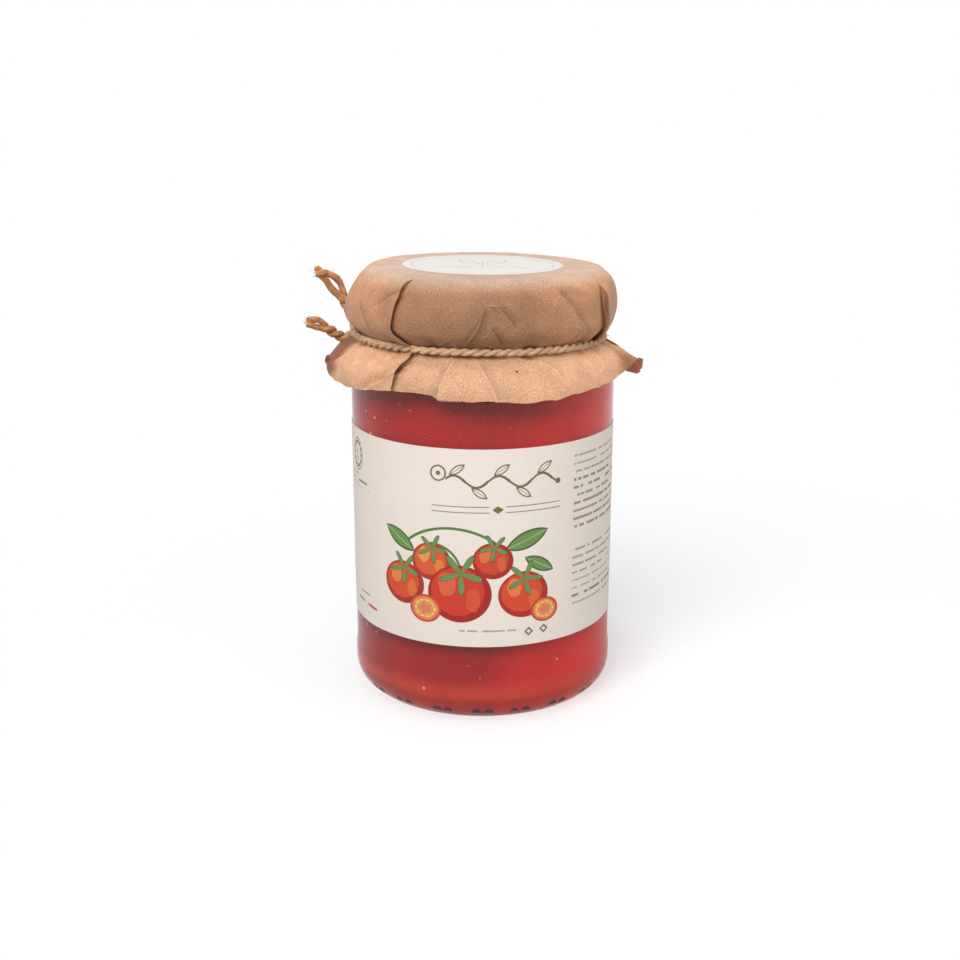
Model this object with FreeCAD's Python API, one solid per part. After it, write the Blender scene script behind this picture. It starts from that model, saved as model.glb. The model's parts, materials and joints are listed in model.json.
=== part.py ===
"""Preserving jar of tomato passata with a kraft paper cover tied on with twine.

Row frame in millimetres: +Z up, origin on the jar's axis in the plane of its base.
The front of the label faces -Y and +X is to its right.  Angles called bearings are
measured in degrees about +Z from the front, positive towards +X.
"""

import FreeCAD, Part
import math
import os

V = FreeCAD.Vector
UP = V(0, 0, 1)

# ---- driving dimensions -------------------------------------------------------------
BODY_R = 35.0            # glass label panel, outside
WALL = 2.4               # glass wall
JAR_TOP = 113.0          # height of the glass lip
COVER_TOP = 115.1        # top of the paper over the lid
LABEL_LOW = 21.9
LABEL_HIGH = 74.3
TIE_Z = 96.9             # height of the twine's centre on the axis

# ---- glass jar ----------------------------------------------------------------------
FOOT_IN_R = 24.6         # bearing ring, inner edge
FOOT_R = 28.4            # bearing ring, outer edge
HEEL_H = 7.2             # height of the rounded heel
BUMPER_R = BODY_R + 0.3  # proud band above the heel that guards the label
BUMPER_TOP = 10.8
PANEL_LOW = 13.0
SHOULDER_Z = 88.0        # where the body starts to turn in
NECK_R = 30.3
NECK_Z = 97.6
BEAD_R = 31.6            # transfer bead under the finish
BEAD_Z = 101.6
BEAD_H = 2.6
FINISH_R = 30.9          # outside of the finish, inside the lid
BORE_R = 27.8            # inside of the neck
PUNT_EDGE_R = 22.6       # inner edge of the short rise inside the bearing ring
PUNT_EDGE_Z = 1.6
PUNT_H = 3.2             # hollow under the base, at the axis
FLOOR_Z = 4.4            # glass floor at its edge
FLOOR_RISE = 1.9         # how far the floor domes up at the axis
FLOOR_EDGE_R = 27.6
SHOULDER_IN_Z = 86.8
NECK_IN_Z = 98.2
FILL_Z = 106.0           # level of the passata, up in the neck

# ---- half-moon marks moulded round the heel ---------------------------------------------
MARK_PAIRS = 20
MARK_SPREAD = 5.2        # degrees between the two marks of a pair
MARK_ROUND_R = 1.45      # radius of a mark's arch
MARK_LENGTH = 2.4        # of its cutter, past the glass
MARK_R = 31.9            # middle of a mark's straight edge, on the heel's face
MARK_Z = 1.0
MARK_TILT = 54.0         # degrees from straight down that the marks face outwards

# ---- label, sticker and lid -----------------------------------------------------------
LABEL_T = 0.15
LABEL_GAP = 11.0         # bare strip of glass between the label's ends, at the back
STICKER_R = 21.0
STICKER_T = 0.15
STICKER_FRONT = 0.8      # how far in front of the axis the sticker is stuck
LID_R = 32.2
LID_CORNER = 3.4
LID_T = 0.5
LID_LOW = 103.6
LID_CURL_R = 0.75
LID_TOP = JAR_TOP + 0.8

# ---- kraft paper cover ------------------------------------------------------------------
COVER_T = 0.45           # paper with its air and glue, as one wall
COLUMNS = 192            # poles round the cover
TOP_R = 26.4             # the flat middle of the cover, where the sticker lies
# Rows of the cover from the flat top down to the cut edge: radius, height, share of a
# pleat's step that shows there, and how far along its lean each pleat has come.
COVER_ROWS = (
    (TOP_R, COVER_TOP, 0.00, 0.00),
    (28.2, COVER_TOP, 0.00, 0.00),
    (30.6, COVER_TOP - 0.4, 0.05, 0.00),
    (33.2, COVER_TOP - 2.0, 0.30, 0.05),
    (34.9, COVER_TOP - 5.2, 0.75, 0.20),
    (35.7, COVER_TOP - 9.6, 1.00, 0.45),
    (35.3, COVER_TOP - 13.8, 0.95, 0.75),
    (32.9, COVER_TOP - 16.4, 0.55, 0.92),
    (31.5, TIE_Z, 0.14, 1.00),
    (32.6, TIE_Z - 1.6, 0.55, 1.05),
    (35.4, TIE_Z - 3.6, 0.90, 1.20),
    (37.4, TIE_Z - 6.4, 1.00, 1.40),
    (38.4, TIE_Z - 8.8, 1.05, 1.60),
    (38.8, TIE_Z - 10.6, 1.10, 1.75),
)
PLEAT_STEP = 1.05        # half the height of a pleat's edge
PANEL_BULGE = 0.55       # how far a panel swells between two pleats
# Pleats: bearing at the lid's edge, bearing at the twine, and which side lies on top,
# +1 where the panel on the left lies over the one on its right.
PLEATS = (
    (-29.0, -31.0, 1),
    (3.0, -10.5, -1),
    (31.0, 50.0, 1),
    (59.0, 64.0, -1),
    (92.0, 88.0, -1),
    (119.0, 126.0, 1),
    (148.0, 141.0, -1),
    (177.0, 184.0, 1),
    (212.0, 205.0, -1),
    (244.0, 250.0, 1),
    (278.0, 294.0, -1),
)
CORNER_LEAN = 0.9        # the lid's edge reads rounder on the left, sharper on the right
TOP_SLOPE = (-0.0115, -0.0140)  # rise of the cover's top along +X and +Y
TIE_SLOPE = (-0.0106, -0.0357)  # rise of the twine's plane along +X and +Y
TIE_SHIFT = -0.8         # the twine and what it gathers sit off the axis, towards the knot
GATHER_REACH = 14.0      # height over which the cover follows the twine's plane
RIM_SHAPE = (            # the cut edge: bearing, radius, height
    (-180, 39.4, 86.8),
    (-156, 41.0, 87.2),
    (-136, 39.6, 87.0),
    (-118, 41.6, 88.2),
    (-101, 42.8, 88.2),
    (-90, 41.8, 86.6),
    (-71, 38.0, 85.8),
    (-45, 38.4, 86.6),
    (-25, 37.4, 87.1),
    (0, 37.8, 86.3),
    (14, 39.2, 86.0),
    (34, 37.8, 86.5),
    (52, 37.5, 87.3),
    (68, 38.4, 88.8),
    (82, 42.0, 89.4),
    (96, 39.6, 87.4),
    (125, 39.6, 86.6),
    (148, 41.0, 87.0),
    (165, 39.4, 86.6),
    (180, 39.4, 86.8),
)

# ---- twine --------------------------------------------------------------------------------
TWINE_R = 1.1
TIE_R = 32.75            # radius of the twine's centre line
KNOT_BEARING = -106.0    # the knot sits just behind the left side
KNOT_OUT = 1.5           # how far the knot stands out from the loop's centre line
KNOT_R = 1.7
END_R = 0.95
# The free ends, as steps from the knot: outwards, towards the front, and up.
RISING_END = ((0, 0, 0), (2.4, -1.2, 2.8), (2.9, -0.8, 5.9), (5.6, 2.1, 12.5), (9.4, 5.2, 15.7))
LEVEL_END = ((0, 0, 0), (1.8, 1.2, -2.4), (3.4, 2.6, -3.0), (7.4, 5.7, 0.5), (11.0, 8.8, 2.2))


# ---- helpers ------------------------------------------------------------------------------
def at(bearing, radius, z=0.0):
    """Point at a bearing in degrees, a radius and a height."""
    a = math.radians(bearing)
    return V(radius * math.sin(a), -radius * math.cos(a), z)


def line(a, b):
    return Part.LineSegment(V(a[0], 0, a[1]), V(b[0], 0, b[1])).toShape()


def curve(points):
    """Smooth profile edge through a few points of the XZ plane."""
    spline = Part.BSplineCurve()
    spline.interpolate([V(r, 0, z) for r, z in points])
    return spline.toShape()


def dome(edge, crown_z):
    """Arc from a point of the profile up to the axis, level there."""
    radius, z = edge
    rise = crown_z - z
    sphere_r = (radius * radius + rise * rise) / (2 * rise)
    half = math.asin(radius / sphere_r) / 2
    middle = V(sphere_r * math.sin(half), 0, crown_z - sphere_r * (1 - math.cos(half)))
    return Part.Arc(V(radius, 0, z), middle, V(0, 0, crown_z)).toShape()


def arc_up(low, high):
    """Quarter-round rise inwards from a level face."""
    middle = V(low[0] + (high[0] - low[0]) * 0.29, 0, low[1] + (high[1] - low[1]) * 0.71)
    return Part.Arc(V(low[0], 0, low[1]), middle, V(high[0], 0, high[1])).toShape()


def heel_edge(inner, outer):
    """Quarter of an ellipse from the foot's edge up to the bumper band."""
    width = outer[0] - inner[0]
    height = outer[1] - inner[1]
    points = []
    for k in range(7):
        t = math.radians(15.0 * k)
        points.append((inner[0] + width * math.sin(t), inner[1] + height * (1 - math.cos(t))))
    return curve(points)


def turned(edges):
    """Solid of revolution about Z of a closed profile drawn in the XZ plane."""
    face = Part.Face(Part.Wire(edges))
    solid = face.revolve(V(0, 0, 0), UP, 360)
    return Part.Solid(Part.Shell(solid.Faces)) if solid.ShapeType != "Solid" else solid


def write(name, shape):
    """Check a node's solid and write it as parts/NAME.step."""
    shape = shape.removeSplitter() if len(shape.Faces) < 60 else shape
    if shape.ShapeType == "Compound" and len(shape.Solids) == 1:
        shape = shape.Solids[0]
    print(f"{name:12s} valid {shape.isValid()} solids {len(shape.Solids)} "
          f"faces {len(shape.Faces)} volume {shape.Volume / 1000:.2f} cm3")
    shape.exportStep(os.path.join("parts", name + ".step"))
    return shape


# ---- glass and what it holds -----------------------------------------------------------------
def inner_wall(top):
    """Inside of the jar from the axis along the floor and up to a height in the neck."""
    body = BODY_R - WALL
    corner = [(FLOOR_EDGE_R, FLOOR_Z), (body - 1.3, FLOOR_Z + 2.1), (body, FLOOR_Z + 5.6)]
    shoulder = [(body, SHOULDER_IN_Z), (body - 1.2, SHOULDER_IN_Z + 5.2),
                (BORE_R + 0.9, NECK_IN_Z - 2.3), (BORE_R, NECK_IN_Z)]
    return [dome((FLOOR_EDGE_R, FLOOR_Z), FLOOR_Z + FLOOR_RISE), curve(corner), line(corner[-1], shoulder[0]), curve(shoulder),
            line(shoulder[-1], (BORE_R, top))]


def outer_wall():
    """Outside of the jar from the lip down to the bearing ring and in under the base."""
    lip_r = (FINISH_R - BORE_R) / 2
    lip_mid = BORE_R + lip_r
    shoulder = [(NECK_R, NECK_Z), (NECK_R + 1.4, NECK_Z - 2.4), (BODY_R - 0.9, SHOULDER_Z + 3.4),
                (BODY_R, SHOULDER_Z)]
    bumper = [(BODY_R, PANEL_LOW), (BUMPER_R - 0.1, BUMPER_TOP + 0.6), (BUMPER_R, BUMPER_TOP)]
    bead = [(FINISH_R, BEAD_Z + BEAD_H), (BEAD_R, BEAD_Z + BEAD_H / 2), (FINISH_R - 0.5, BEAD_Z)]
    lip = Part.Arc(V(BORE_R, 0, JAR_TOP - lip_r), V(lip_mid, 0, JAR_TOP),
                   V(FINISH_R, 0, JAR_TOP - lip_r)).toShape()
    return [lip, line((FINISH_R, JAR_TOP - lip_r), bead[0]), curve(bead),
            line(bead[-1], shoulder[0]), curve(shoulder), line(shoulder[-1], bumper[0]),
            curve(bumper), line(bumper[-1], (BUMPER_R, HEEL_H)),
            heel_edge((FOOT_R, 0), (BUMPER_R, HEEL_H)), line((FOOT_R, 0), (FOOT_IN_R, 0)),
            arc_up((FOOT_IN_R, 0), (PUNT_EDGE_R, PUNT_EDGE_Z)),
            dome((PUNT_EDGE_R, PUNT_EDGE_Z), PUNT_H), line((0, PUNT_H), (0, FLOOR_Z + FLOOR_RISE))]


def heel_marks():
    """Cutters for the pairs of half-moon marks: round bars whose tilted ends bite the heel."""
    tilt = math.radians(MARK_TILT)
    cutters = []
    for k in range(MARK_PAIRS):
        for side in (-0.5, 0.5):
            bearing = 360.0 * k / MARK_PAIRS + side * MARK_SPREAD
            facing = at(bearing, math.sin(tilt), -math.cos(tilt))
            start = at(bearing, MARK_R, MARK_Z)
            cutters.append(Part.makeCylinder(MARK_ROUND_R, MARK_LENGTH, start, facing))
    return cutters


def glass_jar():
    lip_r = (FINISH_R - BORE_R) / 2
    body = turned(inner_wall(JAR_TOP - lip_r) + outer_wall())
    return body.cut(heel_marks())


def passata():
    return turned(inner_wall(FILL_Z) + [line((BORE_R, FILL_Z), (0, FILL_Z)),
                                        line((0, FILL_Z), (0, FLOOR_Z + FLOOR_RISE))])


def lid():
    """Twist-off lid: a panel, a rounded edge, a skirt and its rolled curl."""
    inner = LID_R - LID_T
    low = LID_LOW + 2 * LID_CURL_R
    arc = Part.Arc(V(LID_R, 0, LID_TOP - LID_CORNER),
                   V(LID_R - LID_CORNER * (1 - math.sqrt(0.5)), 0,
                     LID_TOP - LID_CORNER * (1 - math.sqrt(0.5))),
                   V(LID_R - LID_CORNER, 0, LID_TOP)).toShape()
    soft = LID_CORNER - LID_T
    arc_in = Part.Arc(V(inner, 0, LID_TOP - LID_CORNER),
                      V(inner - soft * (1 - math.sqrt(0.5)), 0,
                        LID_TOP - LID_T - soft * (1 - math.sqrt(0.5))),
                      V(inner - soft, 0, LID_TOP - LID_T)).toShape()
    curl = Part.Arc(V(inner, 0, low), V(inner + LID_CURL_R, 0, LID_LOW),
                    V(inner + 2 * LID_CURL_R, 0, LID_LOW + LID_CURL_R)).toShape()
    shell = turned([line((0, LID_TOP), (LID_R - LID_CORNER, LID_TOP)), arc,
                    line((LID_R, LID_TOP - LID_CORNER), (LID_R, low)),
                    line((LID_R, low), (inner + 2 * LID_CURL_R, LID_LOW + LID_CURL_R)), curl,
                    line((inner, low), (inner, LID_TOP - LID_CORNER)), arc_in,
                    line((inner - soft, LID_TOP - LID_T), (0, LID_TOP - LID_T)),
                    line((0, LID_TOP - LID_T), (0, LID_TOP))])
    seal = Part.makeCylinder(inner - soft, LID_TOP - LID_T - JAR_TOP, V(0, 0, JAR_TOP))
    seal = seal.cut(Part.makeCylinder(BORE_R - 1.0, LID_TOP, V(0, 0, 0)))
    return shell.fuse(seal)


# ---- label and sticker ------------------------------------------------------------------------
def label():
    """Wrap-round label, its two ends apart at the back."""
    sweep = 360.0 - math.degrees(LABEL_GAP / BODY_R)
    height = LABEL_HIGH - LABEL_LOW
    start = V(0, 0, LABEL_LOW)
    ring = Part.makeCylinder(BODY_R + LABEL_T, height, start, UP, sweep)
    ring = ring.cut(Part.makeCylinder(BODY_R, height, start))
    ring.rotate(V(0, 0, 0), UP, -90.0 - sweep / 2)
    return ring


def sticker():
    """Round sticker, lying on the cover's sloping top."""
    centre = V(0, -STICKER_FRONT, COVER_TOP - TOP_SLOPE[1] * STICKER_FRONT)
    return Part.makeCylinder(STICKER_R, STICKER_T, centre, V(-TOP_SLOPE[0], -TOP_SLOPE[1], 1))


# ---- paper cover --------------------------------------------------------------------------------
def pleat_bearings(lean):
    """Bearings of all pleats, in rising order, for a share of their lean."""
    return [top + (tie - top) * lean for top, tie, _ in PLEATS]


def shingle(bearing, lean):
    """Height of the folded layers at a bearing: -1 tucked under to +1 lying on top."""
    edges = pleat_bearings(lean)
    count = len(edges)
    for k in range(count):
        start = edges[k]
        end = edges[(k + 1) % count] + (360.0 if k == count - 1 else 0.0)
        offset = (bearing - start) % 360.0
        if offset <= end - start:
            t = offset / (end - start)
            left = -PLEATS[k][2]
            right = PLEATS[(k + 1) % count][2]
            ramp = left * (1 - t) ** 3 + right * t ** 3
            return ramp, math.sin(math.pi * t)
    return 0.0, 0.0


def cut_edge(bearing):
    """Radius and height of the cover's cut edge at a bearing."""
    bearing = (bearing + 180.0) % 360.0 - 180.0
    for (low, low_r, low_z), (high, high_r, high_z) in zip(RIM_SHAPE, RIM_SHAPE[1:]):
        if bearing <= high:
            t = (bearing - low) / (high - low)
            t = t * t * (3 - 2 * t)
            return low_r + (high_r - low_r) * t, low_z + (high_z - low_z) * t
    return RIM_SHAPE[-1][1:]


def cover_point(bearing, row, inset):
    """Point of the cover's wall, a given depth inside its outer face."""
    radius, z, fold, lean = COVER_ROWS[row]
    before = COVER_ROWS[max(row - 1, 0)]
    after = COVER_ROWS[min(row + 1, len(COVER_ROWS) - 1)]
    run = math.hypot(after[0] - before[0], after[1] - before[1])
    out_r = -(after[1] - before[1]) / run
    out_z = (after[0] - before[0]) / run
    ramp, swell = shingle(bearing, lean)
    lift = fold * (PLEAT_STEP * ramp + PANEL_BULGE * swell) - inset
    below_tie = max(0.0, (TIE_Z - z) / (TIE_Z - COVER_ROWS[-1][1]))
    cut_r, cut_z = cut_edge(bearing)
    radius += out_r * lift + below_tie ** 1.4 * (cut_r - COVER_ROWS[-1][0])
    z += out_z * lift + below_tie ** 1.7 * (cut_z - COVER_ROWS[-1][1])
    side = math.sin(math.radians(bearing))
    radius += CORNER_LEAN * max(0.0, 1.0 - abs(row - 3) / 2.0) * side * (1 - 0.6 * side)
    point = at(bearing, radius, z)
    gathered = max(0.0, 1.0 - abs(z - TIE_Z) / GATHER_REACH)
    slope = [top + (tie - top) * gathered for top, tie in zip(TOP_SLOPE, TIE_SLOPE)]
    point.z += slope[0] * point.x + slope[1] * point.y
    point.x += TIE_SHIFT * gathered
    return point


def cover_face(inset):
    """Wall surface of the cover: a spline surface, closed round the jar."""
    rows = len(COVER_ROWS)
    poles = [[cover_point(360.0 * k / COLUMNS, row, inset) for row in range(rows)]
             for k in range(COLUMNS)]
    surface = Part.BSplineSurface()
    ring_knots = list(range(COLUMNS + 1))
    wall_knots = list(range(rows - 2))
    wall_mults = [4] + [1] * (rows - 4) + [4]
    surface.buildFromPolesMultsKnots(poles, [1] * (COLUMNS + 1), wall_mults, ring_knots,
                                     wall_knots, True, False, 3, 3)
    return surface.toShape()


def end_edge(face, z):
    """The face's closed end edge whose middle lies nearest a height."""
    closed = [e for e in face.Edges if e.isClosed()]
    return min(closed, key=lambda e: abs(e.BoundBox.Center.z - z))


def paper_cover():
    outside = cover_face(0.0)
    inside = cover_face(COVER_T)
    low = COVER_ROWS[-1][1]
    top = Part.Face(Part.Wire(end_edge(outside, COVER_TOP)))
    under = Part.Face(Part.Wire(end_edge(inside, COVER_TOP - COVER_T)))
    rim = Part.makeRuledSurface(end_edge(outside, low), end_edge(inside, low))
    skin = Part.makeShell([outside, inside, top, under] + rim.Faces)
    skin.sewShape()
    solid = Part.Solid(skin if skin.ShapeType == "Shell" else skin.Shells[0])
    if solid.Volume < 0:
        solid.reverse()
    return solid


# ---- twine --------------------------------------------------------------------------------------
def tube(points, radius, turn_share=0.45):
    """Round bar along straight runs joined by tangent arcs."""
    corners = [V(p) for p in points]
    edges = []
    last = corners[0]
    for k in range(1, len(corners) - 1):
        here = corners[k]
        back = (corners[k - 1] - here)
        ahead = (corners[k + 1] - here)
        half_turn = (math.pi - back.getAngle(ahead)) / 2
        trim = turn_share * min(back.Length, ahead.Length)
        back.normalize()
        ahead.normalize()
        start = here + back * trim
        end = here + ahead * trim
        bend_r = trim / math.tan(half_turn)
        middle = (back + ahead)
        middle.normalize()
        inner = here + middle * (math.hypot(bend_r, trim) - bend_r)
        edges.append(Part.LineSegment(last, start).toShape())
        edges.append(Part.Arc(start, inner, end).toShape())
        last = end
    edges.append(Part.LineSegment(last, corners[-1]).toShape())
    path = Part.Wire(edges)
    along = corners[1] - corners[0]
    section = Part.Wire(Part.makeCircle(radius, corners[0], along))
    return path.makePipeShell([section], True, True)


def knotted_end(heart, steps):
    """One free end of the twine, its steps turned to the knot's bearing."""
    out = at(KNOT_BEARING, 1.0)
    front = at(KNOT_BEARING + 90.0, 1.0)
    return tube([heart + out * step[0] + front * step[1] + UP * step[2] for step in steps], END_R)


def twine():
    """One length of twine: the loop under the lid, its knot and two free ends."""
    normal = V(-TIE_SLOPE[0], -TIE_SLOPE[1], 1)
    centre = V(TIE_SHIFT, 0, TIE_Z + TIE_SLOPE[0] * TIE_SHIFT)
    loop = Part.makeTorus(TIE_R, TWINE_R, centre, normal)
    along = at(KNOT_BEARING + 90.0, 1.0)
    heart = centre + at(KNOT_BEARING, TIE_R + KNOT_OUT)
    heart.z += TIE_SLOPE[0] * heart.x + TIE_SLOPE[1] * heart.y
    wrap = Part.makeTorus(KNOT_R, TWINE_R * 0.95, heart, along)
    cross = Part.makeTorus(KNOT_R, TWINE_R * 0.9, heart, along * 0.55 + UP * 0.8)
    return loop.fuse([wrap, cross, knotted_end(heart, RISING_END), knotted_end(heart, LEVEL_END)])


def main():
    os.makedirs("parts", exist_ok=True)
    write("glass_jar", glass_jar())
    write("passata", passata())
    write("lid", lid())
    write("label", label())
    write("paper_cover", paper_cover())
    write("sticker", sticker())
    write("twine", twine())


main()
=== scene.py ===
"""Jar of tomato passata with a pleated kraft paper cover tied on with jute twine.

Every size is in metres in the part's own frame: +Z up, the jar's axis on Z, its base at
z = 0 and the front of the label facing -Y.  Bearings are degrees about Z from the front,
positive towards +X.  Tables are in millimetres and degrees, and MM turns them to metres.
"""

import json
import math
import random
from collections import namedtuple

import bpy
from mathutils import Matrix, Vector, noise

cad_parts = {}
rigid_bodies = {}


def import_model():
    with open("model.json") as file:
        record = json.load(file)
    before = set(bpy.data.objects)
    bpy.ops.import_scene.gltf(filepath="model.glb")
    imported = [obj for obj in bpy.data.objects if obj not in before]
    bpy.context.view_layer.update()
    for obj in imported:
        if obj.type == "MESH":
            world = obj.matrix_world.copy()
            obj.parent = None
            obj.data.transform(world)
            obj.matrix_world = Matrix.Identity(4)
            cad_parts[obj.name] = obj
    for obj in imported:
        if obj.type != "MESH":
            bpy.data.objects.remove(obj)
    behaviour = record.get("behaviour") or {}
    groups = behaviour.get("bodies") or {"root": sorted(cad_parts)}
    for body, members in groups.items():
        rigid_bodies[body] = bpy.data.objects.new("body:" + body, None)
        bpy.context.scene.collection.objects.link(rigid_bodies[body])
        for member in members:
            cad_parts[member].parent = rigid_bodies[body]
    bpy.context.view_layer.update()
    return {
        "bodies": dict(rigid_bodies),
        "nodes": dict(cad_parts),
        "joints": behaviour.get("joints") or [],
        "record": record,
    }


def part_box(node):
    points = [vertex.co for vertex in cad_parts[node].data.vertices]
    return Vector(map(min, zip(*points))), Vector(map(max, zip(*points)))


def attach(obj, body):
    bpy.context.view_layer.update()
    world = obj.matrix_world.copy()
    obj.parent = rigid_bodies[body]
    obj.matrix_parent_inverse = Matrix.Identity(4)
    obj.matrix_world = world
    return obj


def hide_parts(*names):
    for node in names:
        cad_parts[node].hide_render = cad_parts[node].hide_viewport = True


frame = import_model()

bl_info = {
    "name": "Passata Jar",
    "version": (1, 0, 0),
    "blender": (4, 5, 0),
    "location": "View3D > Sidebar > Passata Jar",
    "description": "Builds a jar of tomato passata with a tied kraft paper cover",
    "category": "Add Mesh",
}

MM = 0.001
BODY = "root"


# ---- sizes and colours that a user may change ----
def length(name, description, default):
    return bpy.props.FloatProperty(name=name, description=description, default=default,
                                   unit="LENGTH", precision=5)


def colour(name, description, default):
    return bpy.props.FloatVectorProperty(name=name, description=description, default=default,
                                         subtype="COLOR", size=3, min=0.0, max=1.0)


class JarSizes(bpy.types.PropertyGroup):
    """Sizes of the glass, its contents and its label."""

    body_radius: length("Body radius", "Outside of the glass where the label sits", 35.0 * MM)
    wall: length("Wall", "Thickness of the glass wall", 2.4 * MM)
    seat: length("Seat", "How far the passata reaches into the glass", 0.06 * MM)
    label_low: length("Label low edge", "Height of the label's lower edge",
                      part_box("label")[0][2])
    label_high: length("Label high edge", "Height of the label's upper edge",
                       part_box("label")[1][2])
    label_thickness: length("Label thickness", "Thickness of the label paper", 0.13 * MM)
    label_gap: length("Label gap", "Bare glass between the label's ends", 11.0 * MM)


class CoverSizes(bpy.types.PropertyGroup):
    """Sizes of the paper cover and its sticker."""

    thickness: length("Paper thickness", "Thickness of the kraft paper", 0.16 * MM)
    crumple: length("Crumple", "Height of the soft dents in the paper", 0.38 * MM)
    gather: length("Gather", "Height of the small gathers at the twine", 0.42 * MM)
    sticker_radius: length("Sticker radius", "Radius of the round sticker", 21.0 * MM)
    sticker_back: length("Sticker offset", "How far behind the axis the sticker lies", -0.8 * MM)


class TwineSizes(bpy.types.PropertyGroup):
    """Sizes of the twine."""

    ply_radius: length("Ply radius", "Radius of one ply", 0.56 * MM)
    ply_offset: length("Ply offset", "Distance of a ply from the twine's middle", 0.42 * MM)
    lay: length("Lay", "Length of one full twist", 5.4 * MM)
    hair_radius: length("Hair radius", "Radius of a loose fibre", 0.035 * MM)
    hairs: bpy.props.IntProperty(name="Hairs", description="Loose fibres on the twine",
                                 default=420, min=0)


class JarColours(bpy.types.PropertyGroup):
    """Colours of the finishes."""

    passata_deep: colour("Passata, deep", "Darker red of the passata", (0.40, 0.006, 0.005))
    passata_light: colour("Passata, light", "Brighter red of the passata", (0.86, 0.026, 0.016))
    kraft: colour("Kraft", "Middle tone of the kraft paper", (0.60, 0.335, 0.19))
    kraft_worn: colour("Worn kraft", "Pale tone of rubbed creases", (0.86, 0.57, 0.36))
    label: colour("Label", "Ivory of the label paper", (0.885, 0.79, 0.705))
    ink: colour("Ink", "Gold brown of the ornament", (0.21, 0.13, 0.05))
    jute: colour("Jute", "Middle tone of the twine", (0.68, 0.42, 0.235))
    lacquer: colour("Lacquer", "Gold lacquer of the lid", (0.62, 0.45, 0.2))


class StageSizes(bpy.types.PropertyGroup):
    """Camera and light."""

    distance: length("Distance", "Camera's distance from the axis", 372.96 * MM)
    height: length("Height", "Camera's height above the base", 165.55 * MM)
    aside: length("Aside", "Camera's step to the left of the axis", 0.69 * MM)
    pitch: bpy.props.FloatProperty(name="Pitch", description="Angle the camera looks down",
                                   default=math.radians(16.33), subtype="ANGLE")
    lens: bpy.props.FloatProperty(name="Lens", description="Focal length in millimetres",
                                  default=53.32)


def settings(group):
    """One of the scene's property groups."""
    return getattr(bpy.context.scene, group)


# ---- modelling helpers ----
def deselect():
    if bpy.context.mode != "OBJECT":
        bpy.ops.object.mode_set(mode="OBJECT")
    bpy.ops.object.select_all(action="DESELECT")


def pick(piece):
    """Make a piece the only selected and active object."""
    deselect()
    piece.select_set(True)
    bpy.context.view_layer.objects.active = piece
    return piece


def join(pieces, name):
    """Join pieces into the first of them."""
    pick(pieces[0])
    for piece in pieces[1:]:
        piece.select_set(True)
    if len(pieces) > 1:
        bpy.ops.object.join()
    pieces[0].name = name
    return pieces[0]


def finish(piece, material, smooth_angle=None):
    """Settle a finished piece: its place, shading, material and body."""
    pick(piece)
    bpy.ops.object.transform_apply(location=True, rotation=True, scale=True)
    if smooth_angle is None:
        bpy.ops.object.shade_smooth()
    else:
        bpy.ops.object.shade_smooth_by_angle(angle=math.radians(smooth_angle))
    if material is not None:
        piece.data.materials.clear()
        piece.data.materials.append(material)
    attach(piece, BODY)
    return piece


def apply_modifier(piece, kind, **values):
    """Add a modifier with its settings and apply it."""
    pick(piece)
    modifier = piece.modifiers.new(kind.title(), kind)
    for key, value in values.items():
        setattr(modifier, key, value)
    bpy.ops.object.modifier_apply(modifier=modifier.name)


def polar(bearing, radius, z=0.0):
    """Point at a bearing in degrees, a radius and a height."""
    a = math.radians(bearing)
    return Vector((radius * math.sin(a), -radius * math.cos(a), z))


def smoothstep(low, high, value):
    t = min(1.0, max(0.0, (value - low) / (high - low)))
    return t * t * (3 - 2 * t)


def through(points, per_span):
    """Smooth line through points: a Catmull-Rom spline cut into short steps."""
    ends = [Vector(points[0]) * 2 - Vector(points[1])] + [Vector(p) for p in points]
    ends.append(Vector(points[-1]) * 2 - Vector(points[-2]))
    line = []
    for a, b, c, d in zip(ends, ends[1:], ends[2:], ends[3:]):
        for k in range(per_span):
            t = k / per_span
            line.append(0.5 * ((b * 2) + (c - a) * t + (a * 2 - b * 5 + c * 4 - d) * t ** 2
                               + (b * 3 - a - c * 3 + d) * t ** 3))
    line.append(ends[-2])
    return line


def swept(name, start, path, steps, angle=2 * math.pi):
    """Surface swept about Z by the line that leads from a point in a path of steps."""
    deselect()
    bpy.ops.mesh.primitive_plane_add(size=MM)
    piece = bpy.context.object
    piece.name = name
    bpy.ops.object.mode_set(mode="EDIT")
    bpy.ops.mesh.merge(type="CENTER")
    bpy.ops.transform.translate(value=start)
    for step in path:
        bpy.ops.mesh.extrude_region_move(TRANSFORM_OT_translate={"value": step})
    bpy.ops.mesh.select_all(action="SELECT")
    bpy.ops.mesh.spin(steps=steps, angle=angle, center=(0, 0, 0), axis=(0, 0, 1))
    close_seams(0.001)
    return piece


def close_seams(gap):
    """Merge points closer than a gap in millimetres, turn the faces out, leave edit mode."""
    bpy.ops.mesh.select_all(action="SELECT")
    bpy.ops.mesh.remove_doubles(threshold=gap * MM)
    bpy.ops.mesh.normals_make_consistent(inside=False)
    bpy.ops.object.mode_set(mode="OBJECT")


def turned(name, profile):
    """Surface of revolution about Z of a profile of (radius, height) points in millimetres."""
    profile = [(r * MM, z * MM) for r, z in profile]
    path = [(b[0] - a[0], 0, b[1] - a[1]) for a, b in zip(profile, profile[1:])]
    return swept(name, (profile[0][0], 0, profile[0][1]), path, GLASS_STEPS)


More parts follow.
